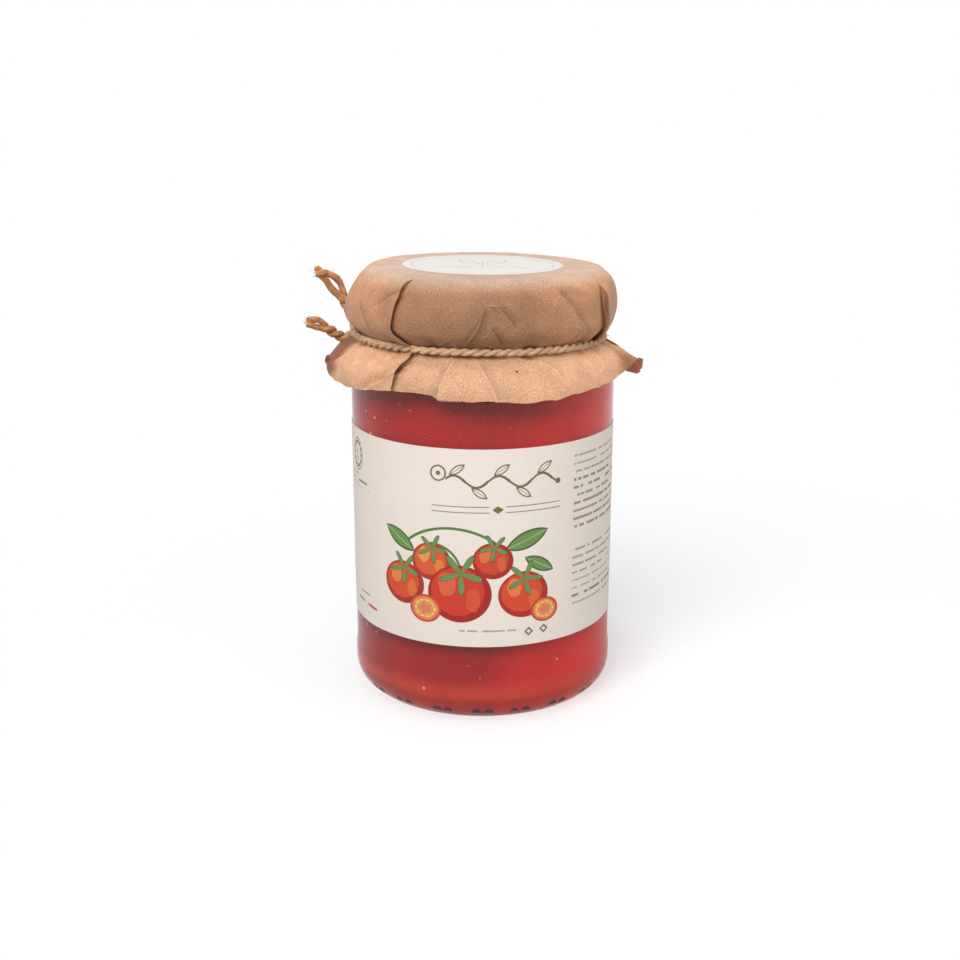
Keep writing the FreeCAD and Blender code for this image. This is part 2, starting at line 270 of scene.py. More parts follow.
# ---- shader helpers ----
class Field:
    """A socket of a node tree that can be used in ordinary arithmetic."""

    def __init__(self, tree, socket):
        self.tree = tree
        self.socket = socket

    def maths(self, operation, *values):
        node = self.tree.nodes.new("ShaderNodeMath")
        node.operation = operation
        for place, value in zip(node.inputs, values):
            feed(self.tree, place, value)
        return Field(self.tree, node.outputs[0])

    def fold(self, period):
        """Distance into each period, from minus half a period to plus half."""
        return self.maths("WRAP", self, period / 2, -period / 2)

    def below(self, edge, soft):
        """1 where the value is under an edge, 0 where it is over, with a soft step."""
        node = self.tree.nodes.new("ShaderNodeMapRange")
        node.interpolation_type = "SMOOTHSTEP"
        for place, value in zip(node.inputs, (self, edge - soft, edge + soft, 1.0, 0.0)):
            feed(self.tree, place, value)
        return Field(self.tree, node.outputs[0])


# The operators and short methods of a field, each with the maths node that it adds.
for word, operation in (("add", "ADD"), ("sub", "SUBTRACT"), ("mul", "MULTIPLY"),
                        ("truediv", "DIVIDE"), ("pow", "POWER")):
    setattr(Field, f"__{word}__", lambda a, b, op=operation: a.maths(op, a, b))
    setattr(Field, f"__r{word}__", lambda a, b, op=operation: a.maths(op, b, a))
for word, operation in (("__abs__", "ABSOLUTE"), ("least", "MINIMUM"), ("most", "MAXIMUM"),
                        ("sine", "SINE"), ("cosine", "COSINE"), ("sign", "SIGN"),
                        ("fract", "FRACT"), ("floor", "FLOOR"), ("bearing", "ARCTAN2")):
    setattr(Field, word, lambda a, *b, op=operation: a.maths(op, a, *b))


def feed(tree, place, value):
    """Link a field to a socket, or set a plain value on it."""
    if isinstance(value, Field):
        tree.links.new(value.socket, place)
    else:
        place.default_value = value


def length_of(a, b):
    return (a * a + b * b) ** 0.5


def scaled(tone, share):
    """A colour made darker or lighter."""
    return tuple(min(1.0, share * part) for part in tone)


class Paint:
    """A material, or the world, under construction."""

    def __init__(self, name, world=False):
        self.owner = (bpy.data.worlds if world else bpy.data.materials).new(name)
        self.owner.use_nodes = True
        self.tree = self.owner.node_tree
        self.tree.nodes.clear()
        self.output = "OutputWorld" if world else "OutputMaterial"

    def add(self, kind, out=0, settings=(), **inputs):
        """Add a node: its settings first, then the values or links of its sockets."""
        node = self.tree.nodes.new("ShaderNode" + kind)
        for key, value in dict(settings).items():
            setattr(node, key, value)
        for key, value in inputs.items():
            place = int(key[1:]) if key[0] == "_" else key.replace("_", " ")
            feed(self.tree, node.inputs[place], value)
        return Field(self.tree, node.outputs[out]) if node.outputs else None

    def place(self):
        return self.add("TexCoord", out="Object")

    def vector(self, operation, *values, out=0):
        inputs = {f"_{k}": value for k, value in enumerate(values)}
        return self.add("VectorMath", out, {"operation": operation}, **inputs)

    def axes(self, vector):
        """The three parts of a vector as fields."""
        node = self.tree.nodes.new("ShaderNodeSeparateXYZ")
        self.tree.links.new(vector.socket, node.inputs[0])
        return [Field(self.tree, output) for output in node.outputs]

    def stretched(self, vector, scale):
        return self.add("Mapping", Vector=vector, Scale=scale)

    def noise(self, vector, scale, detail=3.0, rough=0.55, out=0):
        return self.add("TexNoise", out=out, Vector=vector, Scale=scale, Detail=detail,
                        Roughness=rough)

    def mix(self, under, over, share):
        """Colour over laid on colour under by a share."""
        node = self.tree.nodes.new("ShaderNodeMix")
        node.data_type = "RGBA"
        feed(self.tree, node.inputs[0], share)
        for place, value in ((node.inputs[6], under), (node.inputs[7], over)):
            feed(self.tree, place, value if isinstance(value, Field) else (*value, 1.0))
        return Field(self.tree, node.outputs[2])

    def bump(self, height, strength, distance):
        return self.add("Bump", Height=height, Strength=strength, Distance=distance)

    def principled(self, **inputs):
        return self.add("BsdfPrincipled", **inputs)

    def done(self, shader):
        self.add(self.output, _0=shader)
        return self.owner


# ---- glass and passata ----
JAR_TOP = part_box("glass_jar")[1][2] / MM
FOOT = (24.6, 28.4)        # bearing ring, inner and outer edge
PUNT = ((22.6, 1.3), (0.0, 2.6))  # end of the short rise inside the ring, and the crown
FLOOR = ((29.4, 2.7), (0.0, 4.8))  # the glass floor's edge and crown
BUMPER = (35.3, 7.2, 10.8)  # proud band: radius, low edge, high edge
PANEL_LOW = 13.0
SHOULDER = (88.0, 97.6)    # heights where the body starts to turn in, and where it ends
NECK_R = 30.3
FINISH = (30.9, 27.8)      # outer and inner radius of the mouth
LIP = (FINISH[0] - FINISH[1]) / 2
BEAD = (31.6, 101.6, 2.6)  # ring under the mouth: radius, low edge, height
FILL = 106.0
GLASS_STEPS = 160


def arc_down(edge, crown, steps):
    """Points of a shallow dome from its edge to the axis."""
    radius, z = edge
    rise = crown[1] - z
    sphere = (radius * radius + rise * rise) / (2 * rise)
    half = math.asin(radius / sphere)
    angles = [half * k / steps for k in range(steps, -1, -1)]
    return [(sphere * math.sin(a), crown[1] - sphere * (1 - math.cos(a))) for a in angles]


def inner_profile(body, top, grow=0.0):
    """Inside of the jar from the axis up to a height in the neck, in millimetres."""
    bore = FINISH[1] + grow
    body += grow
    floor = [(r, z - grow) for r, z in reversed(arc_down(FLOOR[0], FLOOR[1], 8))]
    corner = [(FLOOR[0][0], FLOOR[0][1] - grow), (body - 0.9, FLOOR[0][1] + 3.0),
              (body, FLOOR[0][1] + 6.4)]
    shoulder = [(body, SHOULDER[0] - 1.2), (body - 1.2, SHOULDER[0] + 4.0),
                (bore + 0.9, SHOULDER[1] - 1.7), (bore, SHOULDER[1] + 0.6)]
    line = floor[:-1] + [tuple(p) for p in through(corner, 6)]
    line += [tuple(p) for p in through(shoulder, 6)]
    return line + [(bore, top)]


def outer_profile(body):
    """Outside of the jar from the lip down to the bearing ring and in under the base."""
    line = [(FINISH[0] - LIP + LIP * math.sin(a), JAR_TOP - LIP + LIP * math.cos(a))
            for a in (math.radians(30 * k - 60) for k in range(6))]
    bead = [(FINISH[0], BEAD[1] + BEAD[2]), (BEAD[0], BEAD[1] + BEAD[2] / 2),
            (FINISH[0] - 0.5, BEAD[1])]
    line += [tuple(p) for p in through(bead, 5)]
    shoulder = [(NECK_R, SHOULDER[1]), (NECK_R + 1.4, SHOULDER[1] - 2.4),
                (body - 0.9, SHOULDER[0] + 3.4), (body, SHOULDER[0])]
    line += [tuple(p) for p in through(shoulder, 6)]
    bumper = [(body, PANEL_LOW), (BUMPER[0] - 0.1, BUMPER[2] + 0.6), (BUMPER[0], BUMPER[2])]
    line += [(body, 60.0)] + [tuple(p) for p in through(bumper, 4)]
    for k in range(12, -1, -1):
        t = math.radians(7.5 * k)
        line.append((FOOT[1] + (BUMPER[0] - FOOT[1]) * math.sin(t), BUMPER[1] * (1 - math.cos(t))))
    line.append((FOOT[0], 0.0))
    line += [(FOOT[0] - 0.29 * (FOOT[0] - PUNT[0][0]), 0.71 * PUNT[0][1])]
    return line + arc_down(PUNT[0], PUNT[1], 8)


MARK_PAIRS = 20
MARK_SPREAD = 5.2          # degrees between the two marks of a pair
MARK = (1.4, 34.0, 3.2, 73.0)  # round radius, place out and up, degrees faced out from down


def heel_mark_cutters():
    """Round bars whose tilted ends bite half-moons out of the glass heel."""
    radius, out, up, tilt = MARK
    bars = []
    chance = random.Random(12)
    for k in range(MARK_PAIRS):
        place = 360.0 * (k + chance.uniform(-0.1, 0.1)) / MARK_PAIRS
        for side in (-0.5, 0.5):
            bearing = place + side * MARK_SPREAD
            worn = chance.uniform(0.75, 1.0)
            facing = polar(bearing, math.sin(math.radians(tilt)), -math.cos(math.radians(tilt)))
            middle = (polar(bearing, out, up) + facing * 1.3) * MM
            deselect()
            bpy.ops.mesh.primitive_cylinder_add(
                vertices=20, radius=radius * worn * MM, depth=2.6 * MM, location=middle,
                rotation=facing.to_track_quat("Z", "Y").to_euler())
            bars.append(bpy.context.object)
    return join(bars, "heel_mark_cutters")


def lit_through(paint, shader, tint):
    """Shader whose shadow rays pass straight through, dimmed by a tint."""
    clear = paint.add("BsdfTransparent", Color=(*tint, 1.0))
    return paint.done(paint.add("MixShader", _0=paint.add("LightPath", out="Is Shadow Ray"),
                                _1=shader, _2=clear))


def glass_material():
    paint = Paint("Clear jar glass")
    ripple = paint.noise(paint.place(), 55.0, 1.0)
    z = paint.axes(paint.place())[2]
    # Painted glow: the glass's lowest few millimetres are tinted red for the passata's light seen
    # through the heel.
    tint = paint.mix((0.97, 0.985, 0.98), (0.86, 0.22, 0.2), (z / MM).below(3.2, 1.6) * 0.85)
    glass = paint.principled(Base_Color=tint, Roughness=0.015, IOR=1.45, Transmission_Weight=1.0,
                             Normal=paint.bump(ripple, 0.25, 0.00012))
    return lit_through(paint, glass, (0.95, 0.95, 0.95))


def mark_material():
    paint = Paint("Moulded heel mark")
    grain = paint.noise(paint.place(), 900.0, 2.0)
    # Painted shade: the clear glass marks are coloured dark purple-brown for the passata's shade
    # seen through their cut faces.
    glass = paint.principled(Base_Color=(0.09, 0.022, 0.035, 1.0), Roughness=0.3 + 0.25 * grain,
                             Transmission_Weight=0.25, Normal=paint.bump(grain, 0.5, 0.0001))
    return lit_through(paint, glass, (0.4, 0.35, 0.35))


def passata_material(colours):
    paint = Paint("Tomato passata")
    place = paint.place()
    x, _, z = paint.axes(place)
    cloud = paint.noise(paint.stretched(place, (1.0, 1.0, 0.6)), 30.0, 4.0)
    pulp = paint.noise(place, 420.0, 3.0)
    streaks = paint.noise(paint.stretched(place, (1.0, 1.0, 0.15)), 160.0, 3.0)
    share = (cloud - 0.42) * 1.5 + (streaks - 0.5) * 0.5 + (pulp - 0.5) * 0.25
    # Painted light: the red grows brighter towards the right, towards both sides and near the
    # bottom.
    share = share + x * 17.0 + abs(x) * 18.0 - 0.14 + (0.22 - z * 14.0).most(0.0) * 1.6
    red = paint.mix(colours.passata_deep, colours.passata_light, share)
    # Painted glow: a brighter orange-red near the bottom stands for light coming through the glass
    # and the passata.
    low = (z / MM).below(9.5, 2.5)
    red = paint.mix(red, (0.72, 0.065, 0.028), low * (0.45 + streaks * 0.5))
    orange = paint.noise(place, 640.0, 2.0).below(0.27, 0.02)
    red = paint.mix(red, (0.75, 0.16, 0.05), orange * 0.6)
    bubbles = paint.add("TexVoronoi", Vector=place, Scale=330.0)
    sparse = paint.noise(place, 90.0, 1.0).below(0.4, 0.02)
    red = paint.mix(red, (0.85, 0.5, 0.42), bubbles.below(0.13, 0.04) * sparse)
    return paint.done(paint.principled(
        Base_Color=red, Roughness=0.5, Specular_IOR_Level=0.12,
        Normal=paint.bump(pulp, 0.3, 0.0002)))


class JAR_OT_glass(bpy.types.Operator):
    """Turn the glass jar on a lathe, cut its heel marks and fill it with passata"""

    bl_idname = "passata_jar.glass"
    bl_label = "Glass and passata"

    def execute(self, context):
        sizes = settings("jar_sizes")
        body = sizes.body_radius / MM
        inner = body - sizes.wall / MM
        profile = inner_profile(inner, JAR_TOP - LIP) + outer_profile(body)
        jar = turned("jar_glass", profile)
        cutters = heel_mark_cutters()
        for material in (glass_material(), mark_material()):
            jar.data.materials.append(material)
            cutters.data.materials.append(material)
        for face in cutters.data.polygons:
            face.material_index = 1
        apply_modifier(jar, "BOOLEAN", operation="DIFFERENCE", solver="EXACT", object=cutters)
        bpy.data.objects.remove(cutters)
        if abs(jar.dimensions.z - JAR_TOP * MM) > MM:
            raise RuntimeError("the heel marks weren't cut cleanly")
        finish(jar, None, smooth_angle=35)
        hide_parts("glass_jar")
        grow = sizes.seat / MM
        passata = turned("passata_fill", inner_profile(inner, FILL, grow) + [(0.0, FILL)])
        finish(passata, passata_material(settings("jar_colours")), smooth_angle=50)
        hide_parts("passata")
        return {"FINISHED"}


# ---- label ----
LABEL_ROWS, LABEL_STEPS = 16, 200
LABEL_RIPPLE = 0.045


class Print:
    """Ink laid on a tone in layers; places are millimetres across from the front and up."""

    EDGE = 0.07

    def __init__(self, paint, tone, across, up):
        self.paint = paint
        self.tone = tone
        self.u = across
        self.v = up
        self.uv = paint.add("CombineXYZ", X=across, Y=up)
        self.blot = paint.noise(paint.place(), 700.0, 2.0)

    def lay(self, tint, shape, share=1.0):
        """Lay a tint inside a shape, which is a signed distance in millimetres."""
        self.tone = self.paint.mix(self.tone, tint, shape.below(0.0, self.EDGE) * share)

    def local(self, u, v, angle=0.0, tall=1.0):
        """Axes centred on a place and turned by an angle in degrees."""
        return self.paint.axes(self.paint.add(
            "Mapping", settings={"vector_type": "TEXTURE"}, Vector=self.uv, Location=(u, v, 0.0),
            Rotation=(0.0, 0.0, math.radians(angle)), Scale=(1.0, tall, 1.0)))[:2]

    def reach(self, u, v, tall=1.0):
        """Distance from a place, shorter upwards where tall is over one."""
        if tall == 1.0:
            return self.paint.vector("DISTANCE", self.uv, (u, v, 0.0), out="Value")
        near = self.paint.add("Mapping", settings={"vector_type": "TEXTURE"}, Vector=self.uv,
                              Location=(u, v, 0.0), Scale=(1.0, tall, 1.0))
        return self.paint.vector("LENGTH", near, out="Value")

    def disc(self, u, v, radius, tall=1.0):
        return self.reach(u, v, tall) - radius

    def bar(self, u, v, half_wide, half_tall, angle=0.0):
        a, b = self.local(u, v, angle)
        return (abs(a) - half_wide).most(abs(b) - half_tall)

    def diamond(self, u, v, half_wide, half_tall):
        return (abs(self.u - u) / half_wide + abs(self.v - v) / half_tall - 1.0) * half_tall * 0.7

    def leaf(self, axes, half_long, half_wide):
        """Pointed leaf along the first of two axes: where two discs overlap."""
        radius = (half_long ** 2 + half_wide ** 2) / (2 * half_wide)
        return length_of(axes[0], abs(axes[1]) + (radius - half_wide)) - radius

    def rays(self, u, v, count, turn=0.0, tall=1.0):
        """Wave from nought to one that peaks at evenly spaced angles about a place."""
        a, b = self.local(u, v, 0.0, tall)
        return abs((b.bearing(a) * (count / 2) + turn).cosine())

    def star(self, u, v, radius, leaves, turn):
        """Narrow leaves about a middle."""
        return self.reach(u, v) - self.rays(u, v, leaves, turn) ** 3.0 * radius - 0.35

    def tomato(self, u, v, radius, red, turn):
        """Round tomato with a soft dark side, a pale sheen and a green calyx."""
        skin = self.disc(u, v, radius, 0.93)
        self.lay([c * f for c, f in zip(red, (0.62, 0.35, 0.5))], skin)
        lit = self.disc(u - 0.06 * radius, v + 0.07 * radius, radius * 0.9, 0.93)
        self.lay(red, lit + self.blot)
        glow = [min(1.0, c * f) for c, f in zip(red, (1.25, 3.6, 3.0))]
        for aside, up, size, tall, share in ((-0.38, 0.3, 0.3, 1.3, 0.75),
                                             (0.42, -0.2, 0.24, 1.7, 0.4)):
            sheen = self.disc(u + aside * radius, v + up * radius, radius * size, tall)
            self.lay(glow, sheen + self.blot * 1.2 - 0.5, share)
        calyx = self.star(u + 0.05 * radius, v + 0.66 * radius, radius * 0.66, 5, turn)
        self.lay((0.035, 0.07, 0.02), calyx - 0.16)
        self.lay((0.15, 0.27, 0.08), calyx + 0.12)

    def herb(self, u, v, half_long, half_wide, angle):
        """Green leaf with a paler middle vein."""
        axes = self.local(u, v, angle)
        blade = self.leaf(axes, half_long, half_wide)
        self.lay((0.045, 0.1, 0.028), blade)
        self.lay((0.14, 0.27, 0.075), blade + 0.22 + self.blot * 0.4)
        veins = (abs(axes[1]) * 0.9 - axes[0]).fold(1.5)
        self.lay((0.3, 0.42, 0.17), (abs(veins) - 0.07).most(blade + 0.6), 0.6)
        self.lay((0.42, 0.52, 0.24), (abs(axes[1]) - 0.11).most(blade + 0.3))

    def rows(self, tint, left, right, low, high, pitch, heavy):
        """Rows of short plain dashes, level with each other at the left."""
        row = (self.v / pitch).floor()
        weight, end = [self.paint.add("TexWhiteNoise", "Value", {"noise_dimensions": "1D"},
                                      W=row + seed) for seed in (3.5, 40.5)]
        half = 0.24 + 0.12 * weight if heavy else 0.22
        lanes = abs((self.v / pitch).fract() - 0.5) * pitch - half
        words = self.paint.add("CombineXYZ", X=self.u * 0.62, Y=row * 5.3)
        word = (self.paint.noise(words, 1.0, 0.0) - 0.6) * 4.0
        letter = abs((self.u * 1.55 + row * 0.37).fold(1.0)) - 0.41
        frame = ((left - self.u).most(self.u - right)).most((low - self.v).most(self.v - high))
        ragged = self.u - (right - 9.0 * end ** 3.0)
        dash = lanes.most(word).most(letter * 0.6).most(frame).most(ragged)
        self.lay(tint, dash, 0.55 + 0.4 * weight if heavy else 0.8)


def label_material(colours, body):
    """Ivory paper with a plain gold sprig, a truss of tomatoes, rules and rows of dashes."""
    paint = Paint("Printed label paper")
    place = paint.place()
    x, y, z = paint.axes(place)
    across = x.bearing(y * -1.0) * (body / MM)
    up = z / MM
    cloud = paint.noise(place, 260.0, 4.0)
    paper = paint.mix(colours.label, scaled(colours.label, 0.9), cloud * 0.6)
    ink = colours.ink
    art = Print(paint, paper, across, up)
    # sprig: a waving stem with an outlined leaf on every crest and trough, from ring to dot
    half_wave, wave = 5.6, 1.5
    turn = math.pi / half_wave
    along = (art.u - 4.0).fold(half_wave)
    rise = (art.v - 66.0) * ((art.u - 4.0) * turn).cosine().sign()
    crest = (along * turn).cosine() * wave
    slope = (along * turn).sine() * (wave * turn)
    stem = abs(rise - crest) / (slope * slope + 1.0) ** 0.5 - 0.3 - along * 0.02
    span = (art.u - 19.5).most(-9.4 - art.u)
    art.lay(ink, stem.most(span))
    c, s = math.cos(0.62), math.sin(0.62)
    blade = ((along - 0.75) * c + (rise - 3.0) * s, (rise - 3.0) * c - (along - 0.75) * s)
    leaf = art.leaf(blade, 2.4, 0.9)
    art.lay(ink, (abs(leaf + 0.1) - 0.17).most(span))
    art.lay(ink, (abs(blade[1]) - 0.08).most(leaf).most(span))
    art.lay(ink, abs(art.disc(-11.3, 67.9, 1.9)) - 0.22)
    art.lay(ink, art.disc(-11.3, 67.9, 0.6))
    art.lay(ink, art.disc(19.9, 64.9, 0.75))
    # double rule with a diamond
    rule = (abs(abs(art.v - 58.7) - 0.75) - 0.11).most(abs(art.u - 3.8) - 16.8)
    art.lay(ink, rule.most(2.1 - abs(art.u - 3.8)))
    art.lay(ink, art.diamond(3.8, 58.7, 1.5, 1.0))
    # truss of tomatoes under an arched stem, with basil
    green = (0.1, 0.2, 0.055)
    arch = abs(art.disc(-8.0, 35.0, 18.6)) - 0.36
    art.lay(green, arch.most(47.0 - art.v).most(art.u - 10.0).most(-22.5 - art.u))
    shoot = abs(art.disc(-13.2, 41.6, 7.6)) - 0.34
    art.lay(green, shoot.most(41.0 - art.v).most(-14.5 - art.u))
    for leaf in ((-22.6, 49.2, 5.4, 2.1, 148.0), (11.4, 50.4, 6.2, 2.3, 22.0),
                 (14.8, 43.6, 4.6, 1.8, -28.0)):
        art.herb(*leaf)
    for fruit in ((-13.4, 44.3, 5.4, (0.70, 0.10, 0.025), 0.4),
                  (2.6, 45.2, 5.2, (0.62, 0.055, 0.02), 1.1),
                  (-21.6, 37.4, 6.2, (0.66, 0.075, 0.02), 0.9),
                  (10.6, 35.8, 6.7, (0.68, 0.065, 0.022), 0.2),
                  (-6.0, 36.2, 8.3, (0.62, 0.04, 0.018), 0.7)):
        art.tomato(*fruit)
    # two slices, cut across
    for u, v, radius in ((-15.2, 31.4, 4.4), (16.4, 31.0, 3.9)):
        art.lay((0.58, 0.05, 0.02), art.disc(u, v, radius, 0.86))
        art.lay((0.74, 0.2, 0.1), art.disc(u, v, radius - 0.45, 0.86) + art.blot * 0.3)
        ray = art.reach(u, v, 0.86)
        chamber = abs(ray - radius * 0.55) - art.rays(u, v, 5, 0.0, 0.86) ** 0.5 * radius * 0.24
        art.lay((0.78, 0.32, 0.06), chamber)
        art.lay((0.85, 0.62, 0.25),
                abs(ray - radius * 0.6) - art.rays(u, v, 10, 0.0, 0.86) * 0.3 + 0.05)
    # foot row, two small diamonds, and rows of dashes down the right side and at the back
    art.rows(ink, -6.0, 9.2, 25.2, 26.7, 1.5, False)
    for u, v in ((12.0, 25.5), (16.2, 25.7)):
        art.lay(ink, art.diamond(u, v, 1.25, 1.25))
        art.lay(paper, art.diamond(u, v, 0.6, 0.6))
    grey = scaled(ink, 0.75)
    for block in ((25.2, 52.0, 50.4, 71.4), (25.2, 52.0, 29.4, 45.8), (62.0, 90.0, 33.6, 63.0),
                  (-88.0, -60.0, 33.6, 63.0)):
        art.rows(grey, *block, 2.1, True)
    # wreath, its rows and the small rule at the left
    art.lay(ink, abs(art.disc(-41.8, 67.4, 3.3, 1.3)) - 0.12)
    art.lay(ink, abs(art.disc(-41.8, 67.4, 2.5, 1.3)) - art.rays(-41.8, 67.4, 12, 0.0, 1.3) * 0.42)
    art.lay(ink, abs(art.leaf(art.local(-41.8, 67.2, 90.0), 1.7, 0.6)) - 0.1)
    art.rows(ink, -46.4, -34.2, 58.8, 62.2, 1.7, True)
    art.lay((0.24, 0.42, 0.07), art.bar(-41.0, 27.2, 2.1, 0.34, -4.0))
    art.lay((0.6, 0.03, 0.03), art.bar(-34.4, 26.8, 2.3, 0.34, -4.0))
    art.rows(grey, -41.0, -33.0, 29.2, 31.0, 1.8, False)
    fibres = paint.noise(place, 1500.0, 2.0)
    height = fibres + paint.noise(place, 240.0, 2.0) * 0.6
    return paint.done(paint.principled(
        Base_Color=art.tone, Roughness=0.5 + 0.2 * fibres,
        Normal=paint.bump(height, 0.25, 0.00008)))


class JAR_OT_label(bpy.types.Operator):
    """Wrap the printed label round the jar"""

    bl_idname = "passata_jar.label"
    bl_label = "Label"

    def execute(self, context):
        sizes = settings("jar_sizes")
        radius = sizes.body_radius + 0.02 * MM
        height = sizes.label_high - sizes.label_low
        sweep = 2 * math.pi - sizes.label_gap / radius
        start = polar(-math.degrees(sweep) / 2, radius, sizes.label_low)
        path = [(0, 0, height / LABEL_ROWS)] * LABEL_ROWS
        wrap = swept("label_wrap", start, path, LABEL_STEPS, -sweep)
        for vertex in wrap.data.vertices:
            place = vertex.co
            out = Vector((place.x, place.y, 0)).normalized()
            ripple = noise.noise(place * 70) + 0.5 * noise.noise(place * 260)
            vertex.co += out * LABEL_RIPPLE * MM * ripple
        apply_modifier(wrap, "SOLIDIFY", thickness=sizes.label_thickness, offset=1.0)
        finish(wrap, label_material(settings("jar_colours"), sizes.body_radius),
               smooth_angle=40)
        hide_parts("label")
        return {"FINISHED"}


# ---- paper cover ----
COVER_TOP = 115.1
TIE_Z = 96.9
TIE_SHIFT = -0.8           # how far the twine's ring lies to the left of the axis
TIE_SLOPE = (-0.0106, -0.0357)   # rise of the twine's plane towards +X and +Y
TOP_SLOPE = (-0.0115, -0.0140)   # and of the flat top
GATHER_REACH = 14.0        # how far up and down the twine's pull is felt
# How far the paper leans out at the sides of its shoulder, is drawn in at the sides of the
# drum, and swells in the lobe at the left.
SHOULDER_LEAN, DRUM_SQUEEZE, LOBE_SWELL = 0.9, 0.35, 3.2
# The cover's section from the flat top to the cut edge, radius and height.
SECTION = (
    (26.4, COVER_TOP), (28.2, COVER_TOP), (30.6, COVER_TOP - 0.4), (33.2, COVER_TOP - 2.0),
    (34.9, COVER_TOP - 5.2), (35.7, COVER_TOP - 9.6), (35.3, COVER_TOP - 13.8),
    (32.9, COVER_TOP - 16.4), (31.5, TIE_Z), (32.6, TIE_Z - 1.6), (35.4, TIE_Z - 3.6),
    (37.4, TIE_Z - 6.4), (38.4, TIE_Z - 8.8), (38.8, TIE_Z - 10.6),
)
TIE, RIM = 8.0, 13.0       # stations of the twine and of the cut edge along the section
# A pleat: (station, bearing) points of its visible edge, from where it opens down to the rim;
# which side lies on top in the drum and in the skirt, +1 for the left one; how far that edge
# stands off in the drum and in the skirt; and how deep it is folded in each.
Pleat = namedtuple("Pleat", "edge over stand depth")
PLEATS = (
    Pleat(((2.3, -33), (3.3, -35), (5.7, -37), (7.5, -28.5), (8.8, -28), (10, -32), (13, -34.5)),
          (1, 1), (1.5, 2.3), (4.2, 5.5)),
    Pleat(((3.9, 2), (4.9, 0), (5.5, -3), (7.4, -9.5), (8.9, -13), (12.5, -16.5)),
          (-1, -1), (0.35, 0.7), (3.5, 5.0)),
    Pleat(((3.2, 32), (4.4, 38), (5.1, 43), (7.3, 51), (13, 53)), (1, 1), (0.3, 0.05), (1.5, 1.0)),
    Pleat(((3.1, 60.5), (4.6, 59), (5.5, 60), (7.2, 62), (8.6, 67), (10, 70.5), (12.6, 75)),
          (-1, 1), (1.7, 0.9), (4.5, 5.0)),
    Pleat(((3, 97), (6.5, 92), (8, 90), (13, 90)), (-1, -1), (0.5, 1.0), (3.5, 4.0)),
    Pleat(((2.7, 121), (6.5, 127), (8, 127), (13, 131)), (1, 1), (0.8, 1.4), (4.5, 6.0)),
    Pleat(((3.2, 152), (6.5, 146), (8, 142), (13, 139)), (-1, -1), (0.7, 1.0), (4.0, 6.0)),
    Pleat(((2.6, 181), (6.5, 188), (8, 185), (13, 190)), (1, 1), (0.9, 1.5), (4.5, 6.0)),
    Pleat(((3.4, 214), (6.5, 207), (8, 205), (13, 201)), (-1, -1), (0.6, 1.1), (4.0, 6.0)),
    Pleat(((2.8, 243), (6.5, 249), (8, 251), (13, 255)), (1, 1), (0.8, 1.3), (4.0, 5.5)),
    Pleat(((2.6, 268), (5.3, 279), (6.6, 293), (7.6, 303), (9, 299), (11, 282), (13, 254)),
          (-1, -1), (0.4, 1.2), (4.5, 4.5)),
)
RIM_SHAPE = (  # the cut edge between pleats: bearing, radius, height
    (-180, 39.4, 86.8), (-156, 41.0, 87.2), (-136, 39.6, 87.0), (-118, 41.6, 88.4),
    (-101, 41.8, 88.6), (-92, 41.6, 87.0), (-83, 40.4, 85.5), (-71, 38.2, 85.0), (-57, 37.8, 85.6),
    (-44, 38.0, 86.7), (-34, 37.6, 87.2), (-25, 37.0, 87.3), (-19, 37.0, 87.0),
    (-16, 37.6, 86.1), (0, 38.0, 86.1),
    (14, 39.2, 86.0), (27, 38.8, 86.1), (36, 37.5, 86.6), (48, 37.4, 87.0), (60, 37.8, 87.8),
    (69, 38.2, 88.8), (74, 39.4, 90.0), (77, 41.8, 92.2), (82, 42.2, 91.4), (87, 42.2, 88.2),
    (92, 41.4, 86.2), (98, 39.6, 86.4), (108, 38.8, 86.8),
    (125, 39.6, 86.6), (148, 41.0, 87.0), (165, 39.4, 86.6),
)
# Creases pressed into the paper: height (valleys below nought), half width, and their
# (bearing, station) points.
CREASES = (
    (-1.4, 2.2, ((-31, 9.6), (-39, 11.0), (-52, 12.8))),
    (0.6, 1.2, ((-34, 10.9), (-44, 12.4), (-46, 13.0))),
    (-0.8, 0.9, ((18, 8.6), (25, 8.9), (28.5, 9.5), (29.5, 10.4))),
    (-0.3, 0.7, ((6, 4.0), (7, 4.9), (12.5, 5.6))),
    (-0.5, 1.4, ((37, 3.4), (46, 4.0), (50, 5.2))),
    (-0.4, 1.1, ((-46, 5.4), (-42, 4.6), (-36, 3.9))),
    (-0.45, 1.0, ((-57, 8.8), (-50, 9.8), (-42, 10.3))),
    (-0.5, 1.1, ((160, 4.0), (169, 5.0), (172, 6.8))),
    (-0.6, 1.2, ((112, 9.2), (116, 11.0), (112, 12.6))),
    (-0.6, 1.2, ((170, 9.0), (165, 10.8), (168, 12.4))),
    (-0.6, 1.2, ((222, 9.0), (228, 10.6), (224, 12.6))),
)
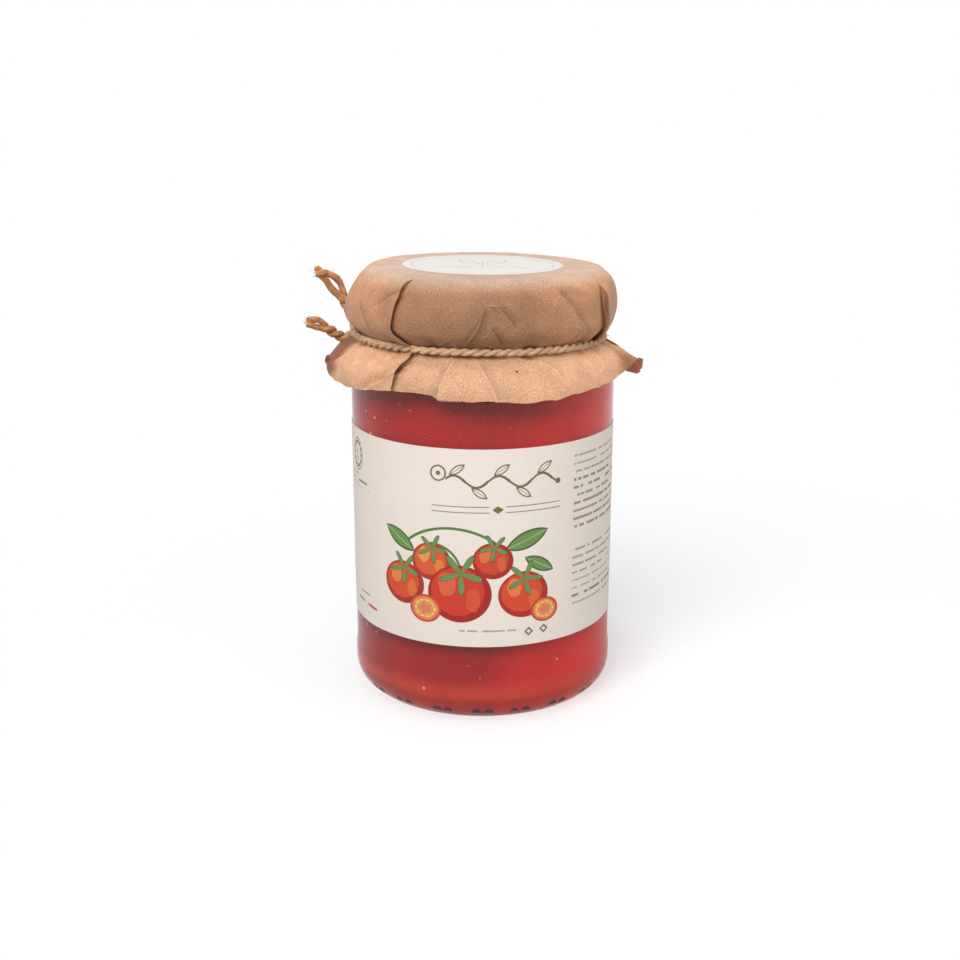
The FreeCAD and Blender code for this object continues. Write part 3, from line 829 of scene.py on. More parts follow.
# Sharp rubbed folds, each an arc through three (bearing, height) points.
FOLDS = (
    ((32, 112.4), (42.5, 105.6), (51, 98.2)), ((1.5, 110.0), (-0.5, 106.3), (-9.5, 98.0)),
    ((41, 104.0), (41.5, 100.4), (35.5, 97.6)), ((-3, 96.0), (2, 92.2), (5.5, 86.4)),
    ((1.5, 110.0), (6, 109.7), (11, 110.1)), ((2, 104.6), (5.5, 102.0), (7.5, 98.9)),
    ((-48, 107.6), (-41, 110.4), (-34, 112.4)), ((-25, 101.0), (-21, 99.2), (-19, 97.4)),
    ((-13, 101.6), (-19, 99.4), (-25, 98.0)), ((-13, 95.6), (-15.5, 91.6), (-17, 87.0)),
    ((5, 109.6), (9.5, 107.0), (13, 104.0)), ((-62, 108.0), (-56, 103.2), (-53, 98.6)),
    ((25, 95.2), (31, 93.0), (33, 90.0)), ((57, 95.6), (58.5, 93.4), (55, 91.0)),
    ((-31, 94.4), (-40, 91.0), (-53, 86.6)), ((104, 109.0), (111, 104.0), (108, 99.0)),
    ((151, 110.0), (158, 105.0), (160, 99.0)), ((-133, 108.0), (-127, 103.0), (-131, 98.6)),
    ((-160, 111.0), (-166, 104.0), (-163, 99.0)),
)
SHEET = 130.0             # diameter the paper was cut to
SHEET_MARGIN = 1.1        # room left round the sheet on its UV map
DISC_RINGS = (0.0, 4.0, 9.0, 14.0, 19.0, 23.5)
ROUND_R = 35.0            # radius that turns a bearing into millimetres round the drum


def between(stations, values, q):
    """Straight-line value at a station."""
    if q <= stations[0]:
        return values[0]
    for a, b, low, high in zip(stations, stations[1:], values, values[1:]):
        if q <= b:
            return low + (high - low) * (q - a) / (b - a)
    return values[-1]


def pleat_at(pleat, q):
    """Edge bearing, side on top, stand-off and depth in degrees of a pleat at a station."""
    stations = [point[0] for point in pleat.edge]
    opens = stations[0]
    edge = between(stations, [point[1] for point in pleat.edge], q)
    over = between((TIE - 0.3, TIE + 0.3), pleat.over, q)
    opening = smoothstep(opens, opens + 1.0, q)
    pinch = 1.0 - 0.8 * math.exp(-((q - TIE) / 0.75) ** 2)
    stand = between((TIE - 0.5, RIM - 1.5), pleat.stand, q) * opening * pinch
    depth = between((opens, TIE - 0.5, RIM), (0.0,) + pleat.depth, q)
    return edge, over, stand, math.degrees(max(depth, 0.001) / 34.0)


def arc(bearing):
    """Millimetres round the drum of a bearing."""
    return math.radians(bearing) * ROUND_R


def falloff(x):
    return (1 - x) ** 2 * (1 + 2 * x) if x < 1 else 0.0


def cover_columns():
    """Columns of the sheet, left to right: panels between pleats and the folds' own layers."""
    columns = []
    for k in range(len(PLEATS)):
        after = PLEATS[(k + 1) % len(PLEATS)]
        span = (pleat_at(after, 6.0)[0] - pleat_at(PLEATS[k], 6.0)[0]) % 360.0
        count = max(8, round(span / 1.35))
        near = [0.0, 0.3 / count, 0.7 / count]
        inner = [j / count for j in range(1, count)]
        for t in near + inner + [1 - v for v in reversed(near)]:
            columns.append(("panel", k, t))
        for t in (0.08, 0.3, 0.5, 0.7, 0.92):
            columns.append(("fold", (k + 1) % len(PLEATS), t))
    return columns


def fold_sides(pleat, q):
    """Bearings of a fold's two creases, and their offsets from the mean surface."""
    edge, over, stand, depth = pleat_at(pleat, q)
    ahead = edge + depth * (1 - over) / 2
    behind = edge - depth * (1 + over) / 2
    tucked = 0.32 * min(1.0, depth / 3.0)
    high = stand * max(over, 0.0) - tucked * max(-over, 0.0)
    low = stand * max(-over, 0.0) - tucked * max(over, 0.0)
    return ahead, behind, high, low


def sheet_point(column, q):
    """Bearing and offset from the mean surface of a column of the sheet at a station."""
    kind, k, t = column
    if kind == "fold":
        ahead, behind, high, low = fold_sides(PLEATS[k], q)
        return ahead + (behind - ahead) * t, high + (low - high) * t, 0.0
    _, start, _, low = fold_sides(PLEATS[k], q)
    end, _, high, _ = fold_sides(PLEATS[(k + 1) % len(PLEATS)], q)
    span = (end - start) % 360.0
    ease_in = min(0.45, (11.0 if low > 0 else 6.0) / span)
    ease_out = min(0.45, (11.0 if high > 0 else 6.0) / span)
    offset = low * falloff(t / ease_in) + high * falloff((1 - t) / ease_out)
    return start + span * t, offset, math.sin(math.pi * t)


def round_edge(bearing):
    """Radius and height of the cut edge at a bearing, smoothly between the given ones."""
    bearing = (bearing + 180.0) % 360.0 - 180.0
    ring = RIM_SHAPE + ((180, *RIM_SHAPE[0][1:]),)
    for a, b in zip(ring, ring[1:]):
        if bearing <= b[0]:
            t = (bearing - a[0]) / (b[0] - a[0])
            t = t * t * (3 - 2 * t)
            return a[1] + (b[1] - a[1]) * t, a[2] + (b[2] - a[2]) * t
    return ring[-1][1:]


def pressed(across, down, creases):
    """Height in millimetres that the creases give a place on the sheet.

    The first two points of a crease are the corners of the patch that it can reach.
    """
    height = 0.0
    for depth, half, points in creases:
        if not (points[0][0] < across < points[1][0] and points[0][1] < down < points[1][1]):
            continue
        near = half
        for a, b in zip(points[2:], points[3:]):
            step = (b[0] - a[0], b[1] - a[1])
            size = step[0] ** 2 + step[1] ** 2
            t = ((across - a[0]) * step[0] + (down - a[1]) * step[1]) / size
            t = min(1.0, max(0.0, t))
            gap = math.hypot(across - a[0] - step[0] * t, down - a[1] - step[1] * t)
            near = min(near, gap)
        height += depth * (1 - near / half) ** 1.3
    return height


def crease_lines(section):
    """The creases with their points in millimetres and the corners of their patches."""
    creases = []
    for depth, half, points in CREASES:
        line = [(arc(bearing), section.at(q)[2]) for bearing, q in points]
        low = tuple(min(point[axis] for point in line) - half for axis in (0, 1))
        high = tuple(max(point[axis] for point in line) + half for axis in (0, 1))
        creases.append((depth, half, [low, high] + line))
    return creases


class Section:
    """The cover's section as a smooth line, read by station."""

    def __init__(self):
        self.per_span = 12
        self.line = through([Vector((r, z)) for r, z in SECTION], self.per_span)
        self.run = [0.0]
        for a, b in zip(self.line, self.line[1:]):
            self.run.append(self.run[-1] + (b - a).length)

    def at(self, q):
        """Radius, height, outward normal and run from the flat top's edge at a station."""
        place = min(max(q, 0.0), len(SECTION) - 1) * self.per_span
        k = min(int(place), len(self.line) - 2)
        step = self.line[k + 1] - self.line[k]
        point = self.line[k] + step * (place - k)
        along = self.line[min(k + 3, len(self.line) - 1)] - self.line[max(k - 2, 0)]
        normal = Vector((-along.y, along.x)).normalized()
        run = self.run[k] + step.length * (place - k)
        return point, normal, run


def dents(flat):
    """Soft dents of handled paper at a place on the unfolded sheet."""
    wave, facet, fine = [noise.noise(Vector((flat.x / size, flat.y / size, layer)))
                         for size, layer in ((15, 3.1), (8, 7.7), (2.6, 1.3))]
    return 1.1 * wave - 1.4 * abs(facet) + 0.16 * fine


def cover_point(section, column, q, flat, creases, sizes):
    """Place of a point of the paper in millimetres."""
    bearing, offset, swell = sheet_point(column, q)
    point, normal, run = section.at(q)
    skirt = max(0.0, (q - TIE) / (RIM - TIE))
    drum = smoothstep(1.0, 4.0, q) * (1 - smoothstep(6.8, 8.0, q))
    rough = sizes.crumple / MM * dents(flat)
    gathers = noise.noise(Vector((bearing * 0.16, q * 0.22, 5.5)))
    pinch = math.exp(-((q - TIE) / 1.5) ** 2)
    height = pressed(arc((bearing + 90.0) % 360.0 - 90.0), run, creases)
    lift = offset + swell * (0.4 * drum + 0.5 * skirt) + height * (1 - 0.5 * pinch)
    lift += rough * smoothstep(0.6, 3.0, q) * (1 - 0.6 * pinch)
    lift += sizes.gather / MM * gathers * pinch * 1.6
    rim_radius, rim_height = round_edge(bearing)
    radius = point.x + normal.x * lift + (rim_radius - SECTION[-1][0]) * skirt ** 1.4
    z = point.y + normal.y * lift + (rim_height - SECTION[-1][1]) * skirt ** 1.7
    side = math.sin(math.radians(bearing))
    radius += SHOULDER_LEAN * max(0.0, 1.0 - abs(q - 3) / 2.0) * side * (1 - 0.6 * side)
    radius -= DRUM_SQUEEZE * abs(side) * drum
    radius += LOBE_SWELL * skirt * (1 - skirt) * max(0.0, -side) ** 6
    place = polar(bearing, radius, z)
    gathered = max(0.0, 1.0 - abs(z - TIE_Z) / GATHER_REACH)
    for axis in (0, 1):
        slope = TOP_SLOPE[axis] + (TIE_SLOPE[axis] - TOP_SLOPE[axis]) * gathered
        place.z += slope * place[axis]
    place.x += TIE_SHIFT * gathered
    return place


def cover_rows():
    """Stations of the sheet's rows, closest where it turns most."""
    rows = [start + step * k for start, step, count in ((0.0, 0.28, 8), (2.2, 0.125, 72),
                                                        (11.2, 0.14, 13)) for k in range(count)]
    return [q for q in rows if q < RIM] + [RIM]


def laid_flat(columns, q):
    """Bearing of every column on the unfolded sheet, for a row at a station."""
    row = [sheet_point(column, q)[0] for column in columns]
    steps = [abs((b - a + 180) % 360 - 180) for a, b in zip(row, row[1:] + row[:1])]
    turn = 360.0 / sum(steps)
    flat = [row[0]]
    for step in steps:
        flat.append(flat[-1] + step * turn)
    return flat


def build_cover(sizes):
    """The cover's sheet: a grid whose columns are folded into pleats round the lid."""
    section = Section()
    columns = cover_columns()
    rows = cover_rows()
    wide = len(columns) + 1
    deep = len(DISC_RINGS) + len(rows)
    deselect()
    bpy.ops.mesh.primitive_grid_add(x_subdivisions=wide - 1, y_subdivisions=deep - 1, size=MM)
    sheet = bpy.context.object
    sheet.name = "kraft_cover"
    uv = sheet.data.uv_layers.active or sheet.data.uv_layers.new(name="sheet")
    uv.name = "sheet"
    flats = []
    creases = crease_lines(section)
    wear = sheet.data.attributes.new("crease", "FLOAT", "POINT")
    for j in range(deep):
        paper = laid_flat(columns, rows[max(0, j - len(DISC_RINGS))])
        for k in range(wide):
            column = columns[k % len(columns)]
            worn = 0.0
            if j < len(DISC_RINGS):
                flat = polar(paper[k], DISC_RINGS[j])
                place = polar(sheet_point(column, 0.0)[0] if j else paper[k], DISC_RINGS[j])
                place.z = COVER_TOP + TOP_SLOPE[0] * place.x + TOP_SLOPE[1] * place.y
            else:
                q = rows[j - len(DISC_RINGS)]
                cut = 0.05 * noise.noise(Vector((paper[k] / 16, 4.4, 0.0)))
                cut += 0.06 * noise.noise(Vector((paper[k] / 3.0, 9.4, 0.0)))
                q += max(0.0, q - TIE) ** 2 / (RIM - TIE) * cut
                flat = polar(paper[k], section.line[0].x + section.at(q)[2])
                place = cover_point(section, column, q, flat, creases, sizes)
                if column[0] == "panel" and column[2] in (0.0, 1.0):
                    opens = PLEATS[(column[1] + int(column[2])) % len(PLEATS)].edge[0][0]
                    worn = smoothstep(opens, opens + 0.8, q)
            flats.append([0.5 + flat[axis] / SHEET / SHEET_MARGIN for axis in (0, 1)])
            sheet.data.vertices[j * wide + k].co = place * MM
            wear.data[j * wide + k].value = worn
    for loop in sheet.data.loops:
        uv.data[loop.index].uv = flats[loop.vertex_index]
    pick(sheet)
    bpy.ops.object.mode_set(mode="EDIT")
    close_seams(0.002)
    crown = max(sheet.data.polygons, key=lambda face: face.center.z)
    if crown.normal.z < 0:
        sheet.data.flip_normals()
    return sheet


def fold_lines(paint, round_about, z):
    """The sharp folds: distance in millimetres from the nearest, and the dent on one side, pressed
    in by the bump and also painted as shade.
    """
    where = paint.add("CombineXYZ", X=round_about, Y=z)
    line = 9.0
    dip_and_shade = 0.0
    for marks in FOLDS:
        a, m, b = [Vector((arc(bearing), height)) for bearing, height in marks]
        chord = b - a
        middle = (a + b) / 2
        across = Vector((-chord.y, chord.x)).normalized()
        bow = (m - middle).dot(across)
        bow = math.copysign(max(abs(bow), 0.05), bow)
        radius = ((chord.length / 2) ** 2 + bow ** 2) / (2 * bow)
        heart = middle + across * (bow - radius)
        ray = paint.vector("DISTANCE", where, (*heart, 0.0), out="Value") - abs(radius)
        reach = paint.vector("DISTANCE", where, (*middle, 0.0), out="Value") - chord.length / 2
        line = abs(ray).most(reach * 0.4).least(line)
        behind = (ray * 7.0).least(1.0 - ray * 0.45).least(reach * -0.7)
        dip_and_shade = behind.most(dip_and_shade)
    return line, dip_and_shade


def kraft_material(colours):
    """Fibrous brown paper: speckle, fibres, flecks, pale rubbed folds and handled patches, with
    painted shade beside the folds, in the hollows and across the front's middle, and a painted
    sheen on the top.
    """
    paint = Paint("Brown kraft paper")
    flat = paint.add("UVMap", settings={"uv_map": "sheet"})
    x, y, z = paint.axes(paint.place())
    z = z / MM
    round_about = x.bearing(y * -1.0) * ROUND_R
    fibre = paint.noise(paint.stretched(flat, (1.0, 5.0, 1.0)), 110.0, 4.0, 0.65)
    mottle = paint.noise(flat, 22.0, 5.0, 0.62)
    speck = paint.noise(flat, 330.0, 2.0, 0.7)
    kraft, rubbed = colours.kraft, colours.kraft_worn
    share = (mottle - 0.5) * 0.9 + (fibre - 0.5) * 0.7 + (speck - 0.5) * 1.9 + 0.5
    tone = paint.mix(scaled(kraft, 0.60), scaled(kraft, 1.34), share)
    flecks = paint.noise(paint.stretched(flat, (1.0, 2.2, 1.0)), 380.0, 2.0)
    tone = paint.mix(tone, scaled(kraft, 0.32), flecks.below(0.28, 0.02) * 0.8)
    tone = paint.mix(tone, rubbed, (1.0 - flecks).below(0.29, 0.03) * 0.5)
    bent = paint.vector("MULTIPLY_ADD", paint.noise(flat, 20.0, 2.0, out=1), (0.03,) * 3, flat)
    veins = paint.add("TexVoronoi", settings={"feature": "DISTANCE_TO_EDGE"},
                      Vector=bent, Scale=13.0)
    top = 1.0 - z.below(113.8, 1.6)
    patch = ((mottle - 0.44).most(0.0) * 6.0).least(1.0) * (1.0 - top)
    folds, dip_and_shade = fold_lines(paint, round_about + (mottle - 0.5) * 1.1, z)
    edge = paint.add("Attribute", out="Fac", settings={"attribute_name": "crease"})
    worn = folds.below(0.09, 0.12) * (0.5 + mottle * 0.6)
    worn = worn.most(veins.below(0.008, 0.008) * patch * 0.3).most(edge ** 4.0 * 0.9)
    tone = paint.mix(tone, rubbed, worn.least(1.0))
    # Painted shade: the front's middle darker than its sides, darker beside each sharp fold,
    # painted shadow in the hollow beside the knot (left), under the folded ear and in a pleat's
    # open wedge, and a tiny dark dot for a hole. The drum is also made darker than the top and the
    # skirt.
    drum = z.below(113.6, 2.4) * (1.0 - z.below(96.6, 1.2))
    middle = abs(round_about + 3.0).below(22.0, 15.0)
    left = length_of(round_about + 55.5, z - 92.5).below(8.5, 2.6) * z.below(96.6, 1.0)
    ear = length_of(round_about - 46.5, (z - 89.5) * 1.1).below(4.2, 2.5)
    hole = length_of(round_about - 8.2, z - 93.8).below(0.26, 0.12)
    shade = 1.32 - middle * 0.27 - drum * (0.35 + middle * 0.13) - dip_and_shade * 0.24
    wedge_shadow = length_of((round_about - 36.2) * 8.0, z - 105.0).below(6.6, 2.5)
    shade = (shade - left * 0.86 - ear * 0.8 - wedge_shadow * 0.5 - hole).most(0.16)
    # The top is painted less red and bluer, as a sheen; the drum is made warmer, and the knot's
    # hollow and the ear get a warmer brown painted shade.
    shade_and_sheen = paint.add("CombineXYZ", X=shade * (1.0 - top * 0.21),
                      Y=shade * (1.0 - top * 0.03 - drum * 0.13 - left * 0.42 - ear * 0.2),
                      Z=shade * (1.0 + top * 0.24 - drum * 0.22 - left * 0.66 - ear * 0.35))
    tone = paint.vector("MULTIPLY", tone, shade_and_sheen)
    height = fibre * 0.16 + mottle * 0.7 + speck * 0.2 + veins.below(0.014, 0.014) * patch * 0.5
    height = height + (folds / 0.5).least(1.0) * -0.5 - dip_and_shade * 1.6
    return paint.done(paint.principled(
        Base_Color=tone, Roughness=0.55 + 0.2 * fibre, Specular_IOR_Level=0.3,
        Sheen_Weight=0.1, Sheen_Roughness=0.45, Normal=paint.bump(height, 0.55, 0.0003)))


class JAR_OT_cover(bpy.types.Operator):
    """Fold the kraft paper over the lid"""

    bl_idname = "passata_jar.cover"
    bl_label = "Paper cover"

    def execute(self, context):
        sizes = settings("cover_sizes")
        cover = build_cover(sizes)
        apply_modifier(cover, "SOLIDIFY", thickness=sizes.thickness, offset=-1.0)
        finish(cover, kraft_material(settings("jar_colours")), smooth_angle=50)
        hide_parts("paper_cover")
        return {"FINISHED"}


class JAR_OT_sticker(bpy.types.Operator):
    """Stick the round seal on the cover's top"""

    bl_idname = "passata_jar.sticker"
    bl_label = "Sticker"

    def execute(self, context):
        sizes = settings("cover_sizes")
        back = sizes.sticker_back
        middle = Vector((0, back, (COVER_TOP + 0.02) * MM + TOP_SLOPE[1] * back))
        facing = Vector((-TOP_SLOPE[0], -TOP_SLOPE[1], 1))
        deselect()
        bpy.ops.mesh.primitive_circle_add(vertices=128, radius=sizes.sticker_radius,
                                          fill_type="NGON", location=middle,
                                          rotation=facing.to_track_quat("Z", "Y").to_euler())
        sticker = bpy.context.object
        sticker.name = "round_sticker"
        bpy.ops.object.mode_set(mode="EDIT")
        for _ in range(6):
            bpy.ops.mesh.inset(thickness=3.0 * MM)
        bpy.ops.mesh.poke()
        bpy.ops.object.mode_set(mode="OBJECT")
        apply_modifier(sticker, "SOLIDIFY", thickness=0.12 * MM, offset=1.0)
        paint = Paint("White seal paper")
        place = paint.place()
        x, y, _ = paint.axes(place)
        fibres = paint.noise(place, 900.0, 3.0)
        tone = paint.mix((0.71, 0.69, 0.645), (0.66, 0.635, 0.585), paint.noise(place, 150.0, 3.0))
        art = Print(paint, tone, x / MM, (y - back) / MM)
        faint = (0.36, 0.33, 0.29)
        art.lay(faint, abs(art.disc(0, 0, 18.6)) - 0.16, 0.5)
        for aside, angle in ((-3.6, 118.0), (3.6, 62.0)):
            leaf = art.leaf(art.local(aside, 4.0, angle), 5.0, 1.7)
            art.lay(faint, abs(leaf) - 0.18, 0.8)
        art.lay(faint, art.bar(0, 1.5, 0.16, 5.5), 0.8)
        art.rows(faint, -11.5, 11.5, -8.6, -5.4, 1.6, True)
        seal = paint.principled(Base_Color=art.tone, Roughness=0.4 + 0.2 * fibres,
                                Normal=paint.bump(fibres, 0.2, 0.00006))
        finish(sticker, paint.done(seal), smooth_angle=40)
        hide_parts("sticker")
        return {"FINISHED"}


# ---- twine ----
TIE_R = 32.75
KNOT_BEARING = -106.0
KNOT_OUT = 1.5
KNOT_R, KNOT_STEP = 1.7, 0.11    # radius of the knot's turns, and how far each step moves on
TWINE_R = 1.1
END_HAIRS, FRAY_FIBRES = 46, 30
RING_POINTS = 60
# The free ends, as steps in millimetres from the knot: outwards, towards the front, and up.
RISING_END = ((0, 0, 0), (2.4, -1.2, 2.8), (3.3, -0.8, 5.6), (5.6, 1.9, 11.7), (7.8, 3.8, 14.5),
              (9.4, 5.2, 15.3))
LEVEL_END = ((0, 0, 0), (1.8, 1.2, -2.4), (3.4, 2.6, -3.0), (7.4, 5.7, 0.5), (9.2, 7.2, 1.9),
             (11.0, 8.8, 2.2))


def tie_plane(place):
    """Drop a point in millimetres onto the twine's slanting plane."""
    place.z = TIE_Z + TIE_SLOPE[0] * place.x + TIE_SLOPE[1] * place.y
    return place


def curve_of(name, kind, lines):
    """Curve with a spline of a kind for each line of (point, thickness)."""
    curve = bpy.data.curves.new(name, "CURVE")
    curve.dimensions = "3D"
    for line in lines:
        spline = curve.splines.new(kind)
        spline.points.add(len(line) - 1)
        for point, (place, thick) in zip(spline.points, line):
            point.co = (*place, 1.0)
            point.radius = thick
    return curve


def led_line(points, closed=False):
    """Points in metres of the smooth NURBS line led by control points in millimetres."""
    curve = curve_of("twine_line", "NURBS", [[(place * MM, 1.0) for place in points]])
    spline = curve.splines[0]
    spline.order_u = 3
    spline.use_endpoint_u = not closed
    spline.use_cyclic_u = closed
    spline.resolution_u = 24
    holder = bpy.data.objects.new("twine_line", curve)
    mesh = bpy.data.meshes.new_from_object(holder)
    line = [vertex.co.copy() for vertex in mesh.vertices]
    bpy.data.objects.remove(holder)
    bpy.data.curves.remove(curve)
    bpy.data.meshes.remove(mesh)
    return line


def tubes(name, lines, radius, sides):
    """Tubes along lines of (point, thickness), made as one curve and turned to a mesh."""
    curve = curve_of(name, "POLY", lines)
    curve.bevel_depth = radius
    curve.bevel_resolution = (sides - 4) // 2
    curve.use_fill_caps = True
    piece = bpy.data.objects.new(name, curve)
    bpy.context.collection.objects.link(piece)
    pick(piece)
    bpy.ops.object.convert(target="MESH")
    return bpy.context.object


def frames_along(route, closed):
    """For each point of a route: the point, two axes across it, its way and its run."""
    frames = []
    run = 0.0
    last = len(route) - 1
    for k, here in enumerate(route):
        before = route[k - 1] if k or closed else here
        after = route[(k + 1) % len(route)] if k < last or closed else here
        along = (after - before).normalized()
        side = along.cross(Vector((0, 0, 1)))
        if side.length < 0.2:
            side = along.cross(Vector((0, 1, 0)))
        side.normalize()
        if k:
            run += (here - route[k - 1]).length
        frames.append((here, side, side.cross(along), along, run))
    return frames


def plies(name, route, sizes, closed=False, parted=None, stout=1.0):
    """Two plies laid round a route in metres.

    Parted opens them between two shares of the route; stout is how much thicker they are.
    """
    frames = frames_along(route, closed)
    total = frames[-1][4] + ((route[0] - route[-1]).length if closed else 0.0)
    lay = total / round(total / sizes.lay) if closed else sizes.lay
    lines = []
    for ply in (0, 1):
        line = []
        for here, side, up, _, run in frames:
            share = run / total
            turned = run
            apart = sizes.ply_offset * stout
            if parted:
                low, high, width = parted
                held = min(max(share, low), high)
                turned = run - (held - low) * total
                apart += width * MM * math.sin(math.pi * (held - low) / (high - low)) ** 1.5
                turned -= low * total
            turn = 2 * math.pi * turned / lay + math.pi * ply + math.pi / 2
            thick = 1 + 0.14 * noise.noise(here * 420 + Vector((ply * 9, 0, 0)))
            line.append((here + side * math.cos(turn) * apart + up * math.sin(turn) * apart,
                         thick))
        if closed:
            line.append(line[0])
        lines.append(line)
    piece = tubes(name, lines, sizes.ply_radius * stout, sides=10)
    stretch = piece.data.uv_layers[0]
    stretch.name = "strand"
    for loop in stretch.data:
        loop.uv.x *= total / MM
    return piece


def fibre(place, way, step, count, thinning, bend):
    """Line of a loose fibre that goes its way in steps, ever thinner, bent at each one."""
    line = []
    for k in range(count):
        line.append((place.copy(), 1.0 - thinning * k))
        place += way.normalized() * step
        way += bend(k)
    return line


def hairs(routes, count, sizes, seed):
    """Loose fibres that leave the twine and curl back."""
    chance = random.Random(seed)
    lines = []
    for _ in range(count):
        frames = chance.choice(routes)
        here, side, up, along, _ = frames[chance.randrange(2, len(frames) - 2)]
        turn = chance.uniform(0, 2 * math.pi)
        out = side * math.cos(turn) + up * math.sin(turn)
        way = along * chance.choice((-1, 1)) + out * chance.uniform(0.05, 0.75)
        curl = Vector([chance.uniform(-0.22, 0.22) for _ in range(3)])
        step = chance.uniform(0.25, 0.85) * MM
        place = here + out * TWINE_R * 0.75 * MM
        lines.append(fibre(place, way, step, 7, 0.1, lambda k: curl - out * 0.05 * k))
    return tubes("jute_hairs", lines, sizes.hair_radius, sides=4)


def frayed(tip, way, sizes, seed):
    """Tuft of split fibres at a cut end."""
    chance = random.Random(seed)
    lines = []
    for _ in range(FRAY_FIBRES):
        spread = Vector([chance.gauss(0, 0.35) for _ in range(3)])
        place = tip + spread * 0.9 * MM - way * chance.uniform(0.4, 1.6) * MM
        step = chance.uniform(0.2, 0.42) * MM
        lines.append(fibre(place, way + spread * 0.9, step, 6, 0.12, lambda k: spread * 0.12))
    return tubes("jute_fray", lines, sizes.hair_radius * 2.2, sides=4)


def steps_from(heart, steps):
    """Points led from the knot by steps outwards, towards the front and up."""
    out = polar(KNOT_BEARING, 1.0)
    front = polar(KNOT_BEARING + 90.0, 1.0)
    return [heart + out * a + front * b + Vector((0, 0, c)) for a, b, c in steps]


def jute_material(colours):
    """Fibrous two-tone strands, warmer and darker towards the loose ends, where a glow of light
    through the fibres is painted.
    """
    paint = Paint("Jute twine")
    place = paint.place()
    x = paint.axes(place)[0]
    strand = paint.add("UVMap", settings={"uv_map": "strand"})
    streak = paint.noise(paint.stretched(strand, (0.9, 11.0, 1.0)), 1.0, 3.0, 0.7)
    patch = paint.noise(place, 260.0, 3.0)
    share = (streak - 0.5) * 2.2 + (patch - 0.5) * 1.1 + 0.5
    tone = paint.mix(scaled(colours.jute, 0.55), scaled(colours.jute, 1.3), share)
    # Painted glow: the knot and loose ends turn orange-brown, as light shining through their
    # fibres.
    ends = (x / MM).below(-37.0, 1.5)
    warm = paint.mix((0.22, 0.07, 0.02), (0.72, 0.30, 0.10), share)
    tone = paint.mix(tone, warm, ends * 0.8)
    return paint.done(paint.principled(
        Base_Color=tone, Roughness=0.65 + 0.2 * streak, Specular_IOR_Level=0.3,
        Sheen_Weight=0.3, Normal=paint.bump(streak, 0.7, 0.00025)))


class JAR_OT_twine(bpy.types.Operator):
    """Tie the two-ply twine round the paper, with its knot, frayed ends and loose fibres"""

    bl_idname = "passata_jar.twine"
    bl_label = "Twine"

    def execute(self, context):
        sizes = settings("twine_sizes")
        ring = []
        for k in range(RING_POINTS):
            uneven = noise.noise(Vector((k * 0.31, 4.0, 2.0)))
            place = polar(360.0 / RING_POINTS * k, TIE_R + 0.12 * uneven)
            place = tie_plane(place + Vector((TIE_SHIFT, 0, 0)))
            place.z += 0.2 * uneven
            ring.append(place)
        loop = led_line(ring, closed=True)
        heart = tie_plane(polar(KNOT_BEARING, TIE_R + KNOT_OUT) + Vector((TIE_SHIFT, 0, 0)))
        rising = led_line(steps_from(heart, RISING_END))
        level = led_line(steps_from(heart, LEVEL_END))
        turns = [(KNOT_R * math.cos(math.pi * k / 6), KNOT_STEP * k - 1.2,
                  KNOT_R * math.sin(math.pi * k / 6)) for k in range(23)]
        knot = led_line(steps_from(heart, turns))
        pieces = [
            plies("loop", loop, sizes, closed=True),
            plies("rising_end", rising, sizes, parted=(0.5, 0.88, 0.75), stout=1.7),
            plies("level_end", level, sizes, parted=(0.72, 0.97, 0.35), stout=1.5),
            plies("knot", knot, sizes),
            hairs([frames_along(loop, True)], sizes.hairs, sizes, 5),
            hairs([frames_along(end, False) for end in (rising, level)], END_HAIRS, sizes, 8),
        ]
        for seed, end in ((3, rising), (4, level)):
            pieces.append(frayed(end[-1], (end[-1] - end[-8]).normalized(), sizes, seed))
        twine = join(pieces, "jute_twine")
        finish(twine, jute_material(settings("jar_colours")))
        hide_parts("twine")
        return {"FINISHED"}


# ---- lid ----
class JAR_OT_lid(bpy.types.Operator):
    """Give the lid under the paper its gold lacquer"""

    bl_idname = "passata_jar.lid"
    bl_label = "Lid"

    def execute(self, context):
        paint = Paint("Gold lacquered tinplate")
        grain = paint.noise(paint.stretched(paint.place(), (1.0, 12.0, 1.0)), 200.0, 3.0)
        tone = paint.mix(settings("jar_colours").lacquer, (0.5, 0.34, 0.13), grain)
        material = paint.done(paint.principled(Base_Color=tone, Metallic=0.9,
                                               Roughness=0.25 + 0.15 * grain))
        for place in frame["nodes"]["lid"].material_slots:
            place.material = material
        return {"FINISHED"}


# ---- stage ----
def lamp(name, place, size, power, mirrored=True):
    """Square soft lamp that faces the jar; the glass can be kept from mirroring it."""
    light = bpy.data.lights.new(name, "AREA")
    light.shape = "SQUARE"
    light.size = size
    light.energy = power
    lamp_object = bpy.data.objects.new(name, light)
    bpy.context.collection.objects.link(lamp_object)
    lamp_object.location = place
    lamp_object.visible_glossy = mirrored
    aim = Vector((0, 0, 0.06)) - Vector(place)
    lamp_object.rotation_euler = aim.to_track_quat("-Z", "Y").to_euler()


def unlit_rays(paint):
    """1 for the rays that see the white background as it is: camera, glossy, transmission."""
    seen, mirrored, bent = [paint.add("LightPath", out=f"Is {kind} Ray")
                            for kind in ("Camera", "Glossy", "Transmission")]
    return seen.most(mirrored).most(bent)


